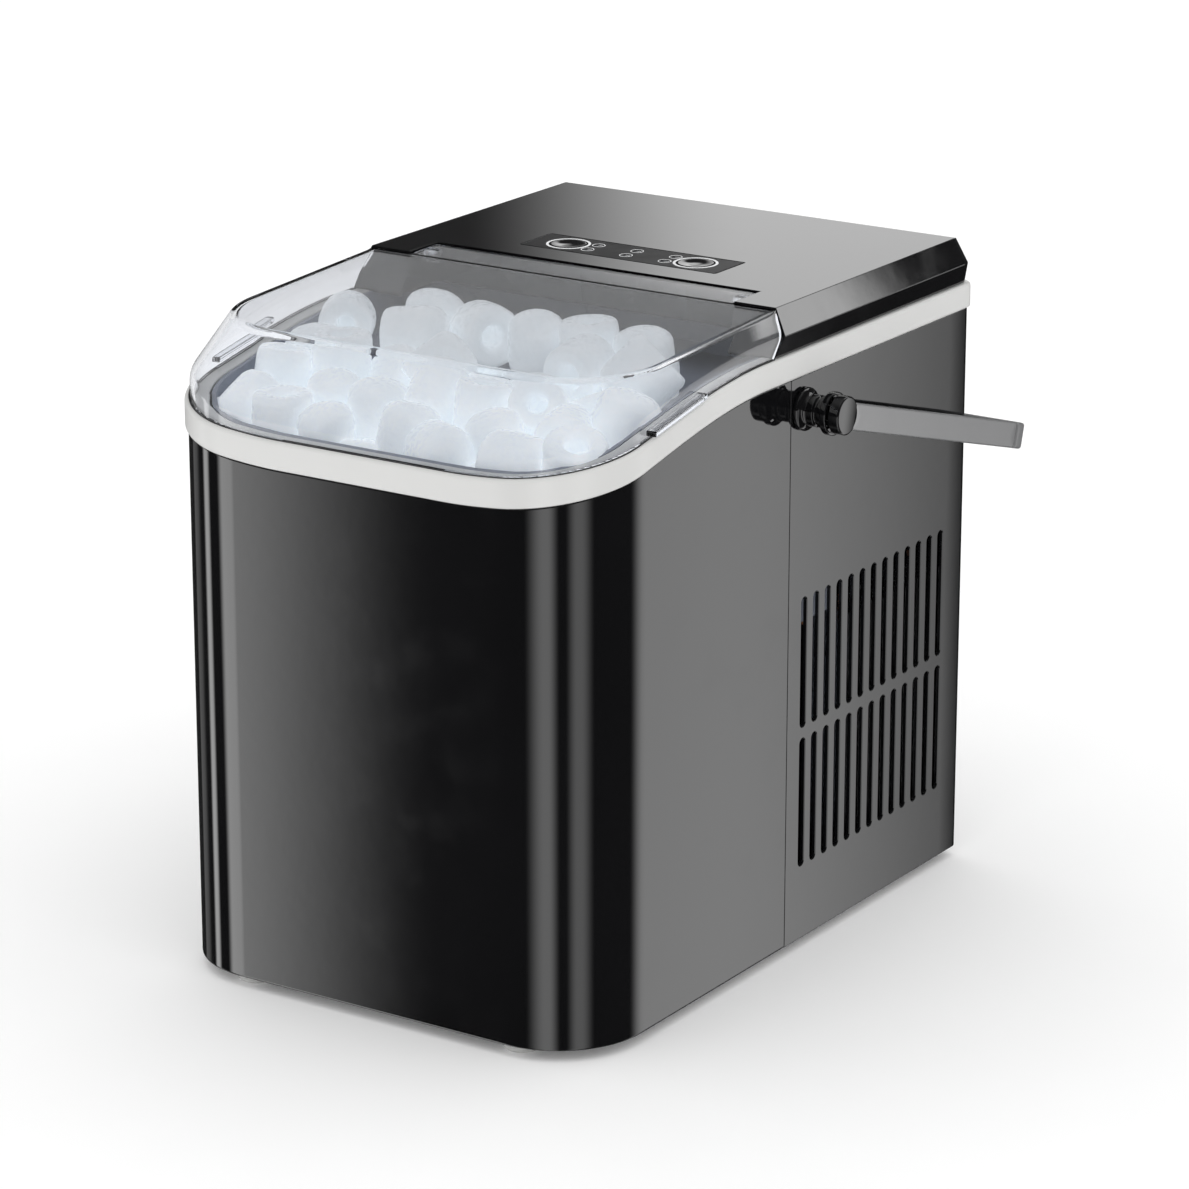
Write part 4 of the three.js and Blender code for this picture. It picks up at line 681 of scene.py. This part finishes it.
class ICEMAKER_OT_trim(bpy.types.Operator):
    """Light trim band that sweeps down to the front, and a thin dark strip under the lid's rim, a painted
    shadow of the gap between lid and trim
    """
    bl_idname = "icemaker.trim"
    bl_label = "Trim band"
    bl_options = {"REGISTER", "UNDO"}

    def execute(self, context):
        def under(x, y):
            """Underside of the trim's ledge."""
            return rim_top(x, y) - TRIM_FLANGE
        section = ((-TRIM_OUT, rim_bottom), (-TRIM_OUT, rim_top), (TRIM_LEDGE, rim_top),
                   (TRIM_LEDGE, under), (WALL, under), (WALL, rim_bottom))
        levels = [raised(whole_path(inset), z) for inset, z in section]
        ring = closed_ring(levels, [1.3, 1.9, 0.8, 0.8, 0.8, 0.3], steps=5)
        piece("trim_band", [ring], finish("light_grey"), "casing", ["trim_ring"])
        # Satin-black strip on the trim under the lid's rim: painted shadow where the gap between lid and trim
        # lies in shade.
        shadow_strip = [raised(front_path(inset, LID_REAR - 9.0), z)
                for inset, z in ((SHADOW_STRIP_IN, under), (SHADOW_STRIP_IN, self.seat),
                                 (SHADOW_STRIP_OUT, self.seat), (SHADOW_STRIP_OUT, under))]
        ring = closed_ring(shadow_strip, [0.1, 0.2, 0.2, 0.1], steps=2)
        piece("lid_shadow_strip", [ring] + end_caps(ring), finish("satin_black"), "casing")
        return {"FINISHED"}

    def seat(self, x, y):
        """Top of the painted shadow strip, where the lid's rim comes down on it."""
        return rim_top(x, y) + LID_GAP


class ICEMAKER_OT_cover(bpy.types.Operator):
    """Gloss top cover: bevelled sides, leaning front, a bay for the lid's tab and a seat for the strip"""
    bl_idname = "icemaker.cover"
    bl_label = "Top cover"
    bl_options = {"REGISTER", "UNDO"}

    def execute(self, context):
        low = COVER[0].z
        cell = (-56.0, 56.0, STRIP_Y - 17.5, STRIP_Y + 17.5)
        half_a, half_b = (STRIP[1].x - STRIP[0].x) / 2 + 0.25, (STRIP[1].y - STRIP[0].y) / 2 + 0.25
        inner_x = np.array([-NOTCH, -56, -51, -50, 0, 50, 51, 56, NOTCH])
        inner_y = np.array([NOTCH_REAR, cell[2], STRIP_Y - 12, STRIP_Y - 11, STRIP_Y + 11, STRIP_Y + 12,
                            cell[3], DEEP - REAR_CORNER - 2])
        shoulder = TOP - BEVEL_HEIGHT
        stages = ((COVER_LEAN, low, -11.9, REAR_CORNER),
                  (0.9 * COVER_LEAN, 0.9 * low + 0.1 * shoulder, -11.25, REAR_CORNER),
                  (0.0, shoulder, -5.4, REAR_CORNER), (BEVEL, TOP, -3.7, 0.0))

        def level(inset, z, lean, r):
            """Outline at one height: right side, rear, left side, and the front round the tab's bay."""
            h, b = HALF - inset, DEEP - inset
            ys = np.concatenate([[lean], inner_y])
            xs = inner_x[::-1]
            loop = np.concatenate([
                np.column_stack([np.full(len(ys), h), ys]), bend(h - r, b - r, r, 0, 90, 8), [[h - r, b]],
                np.column_stack([xs, np.full(len(xs), b)]), [[-h + r, b]],
                bend(-h + r, b - r, r, 90, 180, 8)[1:], [[-h, b - r]],
                np.column_stack([np.full(len(ys), -h), ys[::-1]]), [[-NOTCH, lean]],
                np.column_stack([inner_x, np.full(len(inner_x), NOTCH_REAR)]), [[NOTCH, lean], [h, lean]]])
            return raised(loop, z)
        u = np.concatenate([[-HALF + BEVEL], inner_x, [HALF - BEVEL]])
        v = np.concatenate([[-3.7], inner_y, [DEEP - BEVEL]])
        uu, vv = np.meshgrid(u, v)
        keep = np.ones((len(v) - 1, len(u) - 1), bool)
        keep[0, 1:-1] = False
        block, rim, edge = cell_ring(u, v, (*cell, 0.0, STRIP_Y, half_a, half_b, 0.6))
        keep[block] = False
        floor_line = (np.clip(rim[0], -30, 30), np.full_like(rim[1], STRIP_Y))
        rows = [(*rim, 0), (*edge(0.3), 0), (*edge(0), 0.3), (*edge(0), 1.6), (*floor_line, 1.6)]
        seat = np.stack([np.stack([a, b, np.full_like(a, TOP - depth)], -1) for a, b, depth in rows])
        patches = [np.stack([level(*stage) for stage in stages]), seat,
                   (np.stack([uu, vv, np.full_like(uu, TOP)], -1), keep)]
        piece("cover_top", patches, finish("gloss_black"), "casing", ["top_cover"],
              bevel=0.9, shell=2.2, angle=20, sharp=60)
        return {"FINISHED"}


# ---------------------------------------------------------------- controls
class ICEMAKER_OT_controls(bpy.types.Operator):
    """Control strip, its two keys with printed rings, and six small lamps"""
    bl_idname = "icemaker.controls"
    bl_label = "Controls"
    bl_options = {"REGISTER", "UNDO"}

    def execute(self, context):
        sizes = context.scene.ice_maker_sizes
        half_a, half_b = (STRIP[1].x - STRIP[0].x) / 2, (STRIP[1].y - STRIP[0].y) / 2
        keys = [(side * KEY_X, STRIP_Y) for side in (-1, 1)]
        lamps = [(i * LAMP_X, STRIP_Y + j * LAMP_Y) for i in (-1, 0, 1) for j in (-1, 1)]

        def face(x, y, depth):
            """The strip's own plane, `depth` below its face."""
            return np.stack([x, y, TOP - depth + 0 * x], -1)
        spots = np.array([-1, -0.72, -0.42, -0.14, 0.14, 0.42, 0.72, 1])
        key_hole, lamp_hole = KEY_R + 0.3, LAMP_R + 0.2
        key_cell, lamp_cell = (9.5, 11), (3.5, 4.2)
        holes = [(x - cell[0], x + cell[0], y - cell[1], y + cell[1], x, y, r, r, r)
                 for spots_at, cell, r in ((keys, key_cell, key_hole), (lamps, lamp_cell, lamp_hole))
                 for x, y in spots_at]
        u = stations(-half_a, half_a, *[x + key_cell[0] * spots for x, _ in keys],
                     *[x + lamp_cell[0] * spots for x, _ in lamps])
        v = stations(STRIP_Y - half_b, STRIP_Y + half_b, STRIP_Y + key_cell[1] * spots,
                     *[y + lamp_cell[1] * spots for _, y in lamps])
        piece("strip_face", pierced(u, v, holes, face, 1.2, lip=0.15), finish("strip_black"), "casing",
              ["control_panel"], bevel=0.3, angle=60)
        for (x, y), body, node in zip(keys, ("power_key", "select_key"), ("power_button", "select_button")):
            profile = [(0, TOP - 5.5), (KEY_R - 3, TOP - 5.5), (KEY_R - 3, TOP - 4.5),
                       (KEY_R + 1.8, TOP - 4.5), (KEY_R + 1.8, TOP - 1.5), (KEY_R, TOP - 1.5),
                       (KEY_R, TOP + 0.2), (5.2, TOP + 0.05), (2.5, TOP - 0.25), (0, TOP - 0.3)]
            lathe = turned(profile, [0, 0.3, 0.2, 0.4, 0.4, 0.2, 0.5, 1.6, 1.2, 0], (x, y, 0),
                           sides=72, steps=4)
            piece("key_" + body.split("_")[0], [lathe], finish("gloss_black"), body, [node])
        width = sizes.ring_width * MM
        rings = [self.ring(x, y, KEY_R + 0.7, width, 72) for x, y in keys]
        rings += [self.ring(x, y, LAMP_R + 0.35, 0.4, 36) for x, y in lamps]
        piece("printed_rings", rings, finish("print_white"), "casing")
        windows = [turned([(0, TOP - 3), (LAMP_R, TOP - 3), (LAMP_R, TOP - 0.2), (0, TOP - 0.05)],
                          [0, 0.3, 0.5, 0], (x, y, 0), sides=36) for x, y in lamps]
        bar = slab((-LAMP_X - 2.4, STRIP_Y - 7, TOP - 3.4), (LAMP_X + 2.4, STRIP_Y + 7, TOP - 1.7), 0.6, 0.2)
        piece("lamp_windows", windows + [bar], finish("lamp_dark"), "casing",
              ["indicator_lens"])
        return {"FINISHED"}

    def ring(self, x, y, r, width, sides):
        """Flat ring printed on the strip: a thin closed section turned about the key's axis."""
        low, high = TOP - 0.1, TOP + 0.09
        section = [(r, low), (r + width, low), (r + width, high), (r, high), (r, low)]
        return turned(section, [0, 0.02, 0.05, 0.05, 0], (x, y, 0), sides=sides, steps=1)


# ---------------------------------------------------------------- lid
def lid_top(x, y):
    """Height of the lid's flat top, which falls gently to the front."""
    return TOP - 0.9 + 0.045 * (y + 3)


class ICEMAKER_OT_lid(bpy.types.Operator):
    """Clear lid: rim band on the trim, sloping front and sides up to a crease, flat top and hinge tab"""
    bl_idname = "icemaker.lid"
    bl_label = "Lid"
    bl_options = {"REGISTER", "UNDO"}

    def skin(self, wall):
        """Rows from the rim over the band and the crease to the rear edge of the top."""
        def foot(x, y):
            """Lower edge of the rim."""
            return rim_top(x, y) + LID_GAP

        def band(x, y):
            """Top of the upright band."""
            return rim_top(x, y) + LID_BAND - wall * 0.5

        def crest(x, y):
            """Crease and flat top."""
            return lid_top(x, y) - wall
        crease = front_path(wall, LID_REAR, half=HALF - BEVEL, front=LID_FRONT, corner=LID_CORNER)
        along = np.concatenate([[0], np.cumsum(np.linalg.norm(np.diff(crease, axis=0), axis=1))])
        across = (HALF - BEVEL - wall) * (1 - 2 * along / along[-1])
        rear = np.column_stack([across, np.full(len(crease), LID_REAR)])
        rows = [raised(front_path(LID_INSET + wall, LID_REAR - 9.0), foot),
                raised(front_path(LID_INSET + wall, LID_REAR - 2.5), band),
                raised(crease, crest), raised(rear, crest)]
        return softened(rows, [0, 2.6, 2.4, 0], steps=6)

    def execute(self, context):
        patches = between(self.skin(0.0), self.skin(LID_WALL))
        tab = slab((-NOTCH + 0.8, -3.8, TOP - 2.7), (NOTCH - 0.8, HINGE_REAR, TOP - 0.4), 1.0, 0.5)
        tab[..., 2] += TAB_SLOPE * (tab[..., 1] - HINGE_REAR)
        lug_starts = (-NOTCH + 0.8, NOTCH - 0.8 - 6)
        lugs = [turned([(0, 0), (3.4, 0), (3.4, 6), (0, 6)], [0, 0.4, 0.4, 0], (x, 9, 290),
                       axis="x", sides=32) for x in lug_starts]
        grips = []
        for side in (-1, 1):
            a, b = sorted((side * (HALF - 2), side * (HALF + 3.4)))
            lip = slab((a, -112, 1.6), (b, -72, 4.0), 0.8, 0.6)
            lip[..., 2] += rim_top(np.full(lip.shape[:2], HALF), lip[..., 1])
            grips.append(lip)
        piece("lid_clear", patches + [tab] + lugs + grips, finish("clear"), "lid", ["lid"], sharp=30)
        return {"FINISHED"}


# ---------------------------------------------------------------- handle
class ICEMAKER_OT_handle(bpy.types.Operator):
    """Carry handle: two flat arms, the grip across the back, and the bosses they turn on"""
    bl_idname = "icemaker.handle"
    bl_label = "Carry handle"
    bl_options = {"REGISTER", "UNDO"}

    def execute(self, context):
        inner, thick, half_wide = HALF + ARM_OUT, ARM_THICK, ARM_HALF
        start = (DEEP + GRIP_GAP - PIVOT_Y + half_wide * math.sin(REST)) / math.cos(REST)
        reach = start + GRIP_WIDE

        def swung(patch):
            """From the arm's own line along +Y down to its rest angle about the pivot."""
            y, z = patch[..., 1].copy(), patch[..., 2].copy()
            patch[..., 1] = PIVOT_Y + y * math.cos(REST) + z * math.sin(REST)
            patch[..., 2] = PIVOT_Z - y * math.sin(REST) + z * math.cos(REST)
            return patch
        for side, across in ((-1, "left"), (1, "right")):
            a, b = sorted((side * inner, side * (inner + thick)))
            arm = slab((a, 5.5, -half_wide), (b, start - 0.3, half_wide), 1.6, 1.1, axis="x")
            eye = turned([(0, 0.4), (3.4, 0.4), (3.4, -4), (8.5, -4), (8.5, -9), (0, -9)],
                         [0, 0.2, 0.2, 0.4, 0.9, 0], (0, 0, 0), axis="x", flip=-side)
            eye[..., 0] += side * (inner - 4)
            collar = turned([(8.4, 0), (BOSS_R, 0), (BOSS_R, 3), (8.4, 3), (8.4, 0)], [0, 0.5, 0.5, 0, 0],
                            (side * (inner - 4), 0, 0), axis="x", flip=side)
            piece(f"handle_bar_{across}", [swung(arm)], finish("smoke_grey"), "carry_handle",
                  [f"handle_arm_{across}"])
            piece(f"handle_eye_{across}", [swung(eye), swung(collar)], finish("gloss_black"), "carry_handle")
            self.boss(side, across, inner)
        grip = slab((-inner - thick, start, -half_wide), (inner + thick, reach, half_wide), 1.8, 1.6)
        piece("handle_bar_rear", [swung(grip)], finish("smoke_grey"), "carry_handle",
              ["handle_grip"])
        return {"FINISHED"}

    def boss(self, side, across, inner):
        """Fixed boss: flange on the casing, grooved neck, end ring."""
        face, end = HALF + 0.3, inner - 4.3
        profile = [(3.3, HALF - 2.5), (5.0, HALF - 2.5), (5.0, face), (BOSS_R, face), (BOSS_R, face + 2),
                   (7.6, face + 3.4), (7.0, face + 4.4), (7.0, end - 4.6), (6.1, end - 4.2), (6.1, end - 3.0),
                   (7.2, end - 2.6), (7.2, end), (3.3, end), (3.3, HALF - 2.5)]
        reach = [0, 0.3, 0.3, 0.3, 0.8, 0.8, 0.8, 0.3, 0.3, 0.3, 0.3, 0.5, 0.2, 0]
        lathe = turned(profile, reach, (0, PIVOT_Y, PIVOT_Z), axis="x", sides=64, flip=side)
        piece(f"boss_{across}", [lathe], finish("gloss_black"), "casing",
              [f"handle_boss_{across}"])


# ---------------------------------------------------------------- small parts
class ICEMAKER_OT_small_parts(bpy.types.Operator):
    """Feet, the pins of the power inlet and the screws at the back"""
    bl_idname = "icemaker.small_parts"
    bl_label = "Feet, pins and screws"
    bl_options = {"REGISTER", "UNDO"}

    def execute(self, context):
        for node in [n for n in NODES if n.startswith("foot_")]:
            low, high = [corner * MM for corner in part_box(node)]
            x, y, r = (low.x + high.x) / 2, (low.y + high.y) / 2 - MIDDLE, (high.x - low.x) / 2
            profile = [(0, 0.6), (r - 4, 0.6), (r - 3, 0), (r - 1, 0), (r, 1.4), (r, 4.7),
                       (3.5, 4.7), (3.5, 9), (0, 9)]
            lathe = turned(profile, [0, 0.5, 0.5, 0.6, 0.8, 0.4, 0.4, 0.3, 0], (x, y, 0), sides=40)
            piece("pad_" + node, [lathe], finish("rubber"), "casing", [node])
        pins = [slab((INLET_X + x - 1.2, DEEP - 15, INLET_Z + z - 2.2),
                     (INLET_X + x + 1.2, DEEP - 2.5, INLET_Z + z + 2.2), 0.9, 0.4, axis="y")
                for x, z in ((-6, -1.5), (0, 2.0), (6, -1.5))]
        piece("inlet_pins", pins, finish("steel"), "casing")
        screws = [self.screw(x, z) for z in (20, 248) for x in (-98, 0, 98)]
        piece("rear_screws", screws, finish("steel"), "casing")
        return {"FINISHED"}

    def screw(self, x, z):
        """Domed head with a round driver recess."""
        profile = [(0, -2.0), (2.6, -2.0), (3.6, 0.0), (3.1, 1.1), (1.5, 1.5), (1.3, 0.3), (0, 0.2)]
        return turned(profile, [0, 0.3, 0.3, 0.7, 0.3, 0.2, 0], (x, DEEP, z), axis="y", sides=28)


# ---------------------------------------------------------------- ice
class ICEMAKER_OT_ice(bpy.types.Operator):
    """Heap of hollow bullet ice in the basket and on the hood behind it"""
    bl_idname = "icemaker.ice"
    bl_label = "Ice"
    bl_options = {"REGISTER", "UNDO"}

    def execute(self, context):
        sizes = context.scene.ice_maker_sizes
        radius = sizes.ice_radius * MM
        places = self.heap(sizes.ice_count, radius, sizes.ice_seed)
        rng = np.random.default_rng(sizes.ice_seed + 1)
        lean = rng.choice([8, 20, 55, 90], len(places), p=[0.4, 0.25, 0.2, 0.15])
        tilt = np.radians(lean + rng.normal(0, 6, len(places)))
        spin = rng.uniform(0, 2 * math.pi, len(places))
        grow = rng.uniform(0.93, 1.05, len(places))
        over = rng.random(len(places)) < 0.3
        patches = []
        for k, centre in enumerate(places):
            r = radius * grow[k]
            h = r * 1.02
            profile = [(0, h), (r * 0.55, h), (r * 0.97, h * 0.72), (r, 0), (r * 0.98, -h * 0.8),
                       (r * 0.9, -h), (r * 0.5, -h), (r * 0.36, -h * 0.85), (r * 0.27, h * 0.2),
                       (0, h * 0.42)]
            shape = turned(profile, [0, 3.4, 4.2, 3.0, 2.0, 1.4, 1.2, 1.6, 2.2, 0], (0, 0, 0),
                           sides=24, steps=3, flip=-1 if over[k] else 1)
            ct, st, cs, ss = math.cos(tilt[k]), math.sin(tilt[k]), math.cos(spin[k]), math.sin(spin[k])
            leant = np.array([[ct, 0, st], [0, 1, 0], [-st, 0, ct]])
            turn = np.array([[cs, -ss, 0], [ss, cs, 0], [0, 0, 1]]) @ leant
            patches.append(shape @ turn.T + centre)
        piece("ice_heap", patches, finish("ice"), "casing", sharp=60)
        return {"FINISHED"}

    def heap(self, count, radius, seed):
        """Centres that push apart to two radii while they sink, held in the basket, off the hood and
        under a surface that rises from the front to the back."""
        rng = np.random.default_rng(seed)
        reach_x = BASKET_HALF - radius
        back_row = np.column_stack([np.linspace(-52, 58, 5), np.full(5, -33.0),
                                    np.full(5, HOOD_TOP + radius * 0.97)])
        loose = rng.uniform([-reach_x, -132, 222], [reach_x, HOOD_FRONT, 262], (count - 5, 3))
        centres = np.concatenate([back_row, loose])
        for _ in range(500):
            gap = centres[:, None] - centres[None]
            away = np.linalg.norm(gap, axis=-1) + np.eye(len(centres)) * 1e3
            push = np.clip(1.94 * radius - away, 0, None)
            centres = centres + 0.35 * (gap / away[..., None] * push[..., None]).sum(1)
            centres[:, 2] -= 0.25
            x, y = centres[:, 0], centres[:, 1]
            front = BASKET_FRONT + radius + 10 * (np.abs(x) / BASKET_HALF) ** 4
            on_hood = y > HOOD_FRONT
            y = np.clip(y, front, np.where(centres[:, 2] > 262 + radius * 0.5, -30, BASKET_REAR))
            ceiling = np.minimum(247.5 + (y + 130) * 0.38, 289.0 - radius)
            floor = np.where(on_hood & (np.abs(x) < 80), HOOD_TOP + radius * 0.96, 214)
            z = np.clip(centres[:, 2], floor, np.maximum(ceiling, floor))
            centres = np.column_stack([np.clip(x, -reach_x, reach_x), y, z])
        return centres


# ---------------------------------------------------------------- carried-over nodes
def soft_edges():
    """Node group for the frame's own meshes: corners merged, smooth but for edges over 30 degrees."""
    group = bpy.data.node_groups.new("soft_edges", "GeometryNodeTree")
    group.interface.new_socket("Geometry", in_out="INPUT", socket_type="NodeSocketGeometry")
    group.interface.new_socket("Geometry", in_out="OUTPUT", socket_type="NodeSocketGeometry")
    build = Nodes(group)
    start = build.node("NodeGroupInput")
    merged = build.node("GeometryNodeMergeByDistance", None, {"Geometry": start.outputs[0], "Distance": 1e-6})
    plain = build.node("GeometryNodeRemoveAttribute", None,
                       {"Geometry": merged.outputs[0], "Name": "custom_normal"})
    faces = build.node("GeometryNodeSetShadeSmooth", {"domain": "FACE"}, {"Geometry": plain.outputs[0]})
    edge = build.node("GeometryNodeInputMeshEdgeAngle")
    sharp = build.node("FunctionNodeCompare", {"operation": "GREATER_THAN"},
                       {0: edge.outputs[0], 1: math.radians(30)})
    edges = build.node("GeometryNodeSetShadeSmooth", {"domain": "EDGE"},
                       {"Geometry": faces.outputs[0], "Selection": sharp.outputs[0], "Shade Smooth": False})
    build.node("NodeGroupOutput", None, {0: edges.outputs[0]})
    return group


class ICEMAKER_OT_frame_nodes(bpy.types.Operator):
    """Finishes and soft edges for the frame's own parts that stay on show"""
    bl_idname = "icemaker.frame_nodes"
    bl_label = "Inner parts"
    bl_options = {"REGISTER", "UNDO"}

    def execute(self, context):
        group = soft_edges()
        for node in NODES.values():
            if node.hide_render:
                continue
            slot = node.data.materials[0].name
            node.data.materials[0] = finish(slot)
            node.modifiers.new("soft edges", "NODES").node_group = group
        return {"FINISHED"}


# ---------------------------------------------------------------- stage
class ICEMAKER_OT_stage(bpy.types.Operator):
    """Pale floor, white room with soft lights for the gloss, and the camera"""
    bl_idname = "icemaker.stage"
    bl_label = "Stage"
    bl_options = {"REGISTER", "UNDO"}

    def execute(self, context):
        stage = context.scene.ice_maker_stage
        self.floor()
        self.room(stage.room_light)
        self.camera(stage)
        context.scene.view_settings.view_transform = "Standard"
        return {"FINISHED"}

    def floor(self):
        """Flat grid, wide enough to fill the view."""
        side = np.linspace(-9, 9, 5)
        x, y = np.meshgrid(side, side)
        mesh = bpy.data.meshes.new("floor")
        index = np.arange(25).reshape(5, 5)
        faces = np.stack([index[:-1, :-1], index[:-1, 1:], index[1:, 1:], index[1:, :-1]], -1).reshape(-1, 4)
        mesh.from_pydata(np.stack([x, y, 0 * x], -1).reshape(-1, 3).tolist(), [], faces.tolist())
        floor = bpy.data.objects.new("floor", mesh)
        bpy.context.scene.collection.objects.link(floor)
        glow = {"Emission Color": (1.0, 1.0, 1.0, 1.0), "Emission Strength": 0.09}
        mesh.materials.append(moulding("floor_white", (0.95, 0.95, 0.95), 0.9, grain=60.0, depth=0.00001,
                                       shade=0.004, **glow))
        floor.visible_glossy = False

    def room(self, light):
        """White all round for everything but mirror rays, which meet dark walls with soft lights:
        (start, full, to, end) in degrees round from +X, and their strength."""
        low_lights = {"left edge": (160, 164, 172, 182, 0.35), "left line": (188, 194, 197, 203, 3.6),
                      "front left": (215, 224, 230.6, 234.6, 4.5), "corner first": (264, 288, 292, 306, 2.6),
                      "corner second": (312, 326, 330, 347, 1.9), "right side": (35, 58, 58.2, 63.5, 2.0)}
        world = bpy.data.worlds.new("studio")
        bpy.context.scene.world = world
        world.use_nodes = True
        build = Nodes(world.node_tree)
        way = build.node("ShaderNodeTexCoord").outputs["Generated"]
        split = build.node("ShaderNodeSeparateXYZ", None, {0: way})
        x, y, z = [Value(build, split.outputs[k]) for k in range(3)]
        turned_by = x.maths("ARCTAN2", y, x) * (180 / math.pi) + 360
        round_angle = turned_by.maths("MODULO", turned_by, 360.0)
        height = z.maths("ARCSINE", z) * (180 / math.pi)

        def strip(value, start, full, to, end):
            """1 from full to to, easing to 0 at start and end."""
            return build.ease(value, start, full) * (1 - build.ease(value, to, end))
        below = 0.03 + sum(strip(round_angle, *bounds) * power for *bounds, power in low_lights.values())
        long_box = strip(round_angle, 104, 110, 121.3, 125.0) * strip(height, 2, 7, 15, 19) * 1.5
        bevel_box = strip(round_angle, 57, 58.5, 60.1, 61.1) * strip(height, 4, 8, 18, 24) * 4.8
        edge_box = strip(round_angle, 56, 62, 90, 96) * strip(height, 30, 32, 60, 70) * 2.4
        overhead = build.ease(height, 35, 80) * 0.5
        above = 0.05 + long_box + bevel_box + edge_box + overhead
        side = build.ease(height, -1.5, 1.5)
        mirror = below * (1 - side) + above * side
        rays = build.node("ShaderNodeLightPath")
        glossy = Value(build, rays.outputs["Is Glossy Ray"])
        gloss = glossy * (1 - Value(build, rays.outputs["Is Transmission Ray"]))
        key = build.ease(0.45 * z + 0.2 * x - 0.2 * y, -0.5, 1.0)
        white = light * (0.88 + 0.26 * key)
        diffuse = Value(build, rays.outputs["Is Diffuse Ray"])
        room = diffuse * white + (1 - diffuse) * light
        strength = gloss * mirror + (1 - gloss) * room
        ground = build.node("ShaderNodeBackground", None, {"Color": (1, 1, 1, 1), "Strength": strength})
        build.node("ShaderNodeOutputWorld", None, {"Surface": ground.outputs[0]})
        world.cycles.sampling_method = "NONE"

    def camera(self, stage):
        target = Vector((0.0001, 0.0108, 0.1449))
        level = math.cos(stage.rise)
        away = Vector((math.sin(stage.turn) * level, -math.cos(stage.turn) * level, math.sin(stage.rise)))
        lens = bpy.data.cameras.new("camera")
        lens.lens, lens.sensor_width = stage.lens, 36.0
        lens.clip_start, lens.clip_end = 0.05, 60.0
        camera = bpy.data.objects.new("camera", lens)
        bpy.context.scene.collection.objects.link(camera)
        camera.location = target + away * stage.distance
        camera.rotation_mode = "QUATERNION"
        camera.rotation_quaternion = (-away).to_track_quat("-Z", "Y")
        bpy.context.scene.camera = camera


OPERATORS = (ICEMAKER_OT_front_shell, ICEMAKER_OT_rear_housing, ICEMAKER_OT_trim, ICEMAKER_OT_cover,
             ICEMAKER_OT_controls, ICEMAKER_OT_lid, ICEMAKER_OT_handle, ICEMAKER_OT_small_parts,
             ICEMAKER_OT_ice, ICEMAKER_OT_frame_nodes, ICEMAKER_OT_stage)


class ICEMAKER_PT_panel(bpy.types.Panel):
    """Lists the sizes, colours and operators in the sidebar"""
    bl_label = "Ice maker"
    bl_idname = "ICEMAKER_PT_panel"
    bl_space_type = "VIEW_3D"
    bl_region_type = "UI"
    bl_category = "Ice maker"

    def draw(self, context):
        for name, group in GROUPS.items():
            for value in group.__annotations__:
                self.layout.prop(getattr(context.scene, name), value)
        for operator in OPERATORS:
            self.layout.operator(operator.bl_idname)


GROUPS = {"ice_maker_sizes": IceMakerSizes, "ice_maker_colours": IceMakerColours,
          "ice_maker_stage": IceMakerStage}


def register():
    for group in (*GROUPS.values(), *OPERATORS, ICEMAKER_PT_panel):
        bpy.utils.register_class(group)
    for name, group in GROUPS.items():
        setattr(bpy.types.Scene, name, PointerProperty(type=group))


def unregister():
    for name in GROUPS:
        delattr(bpy.types.Scene, name)
    for group in (ICEMAKER_PT_panel, *OPERATORS, *GROUPS.values()):
        bpy.utils.unregister_class(group)


def main():
    register()
    for operator in OPERATORS:
        section, name = operator.bl_idname.split(".")
        getattr(getattr(bpy.ops, section), name)()


if __name__ == "__main__":
    main()
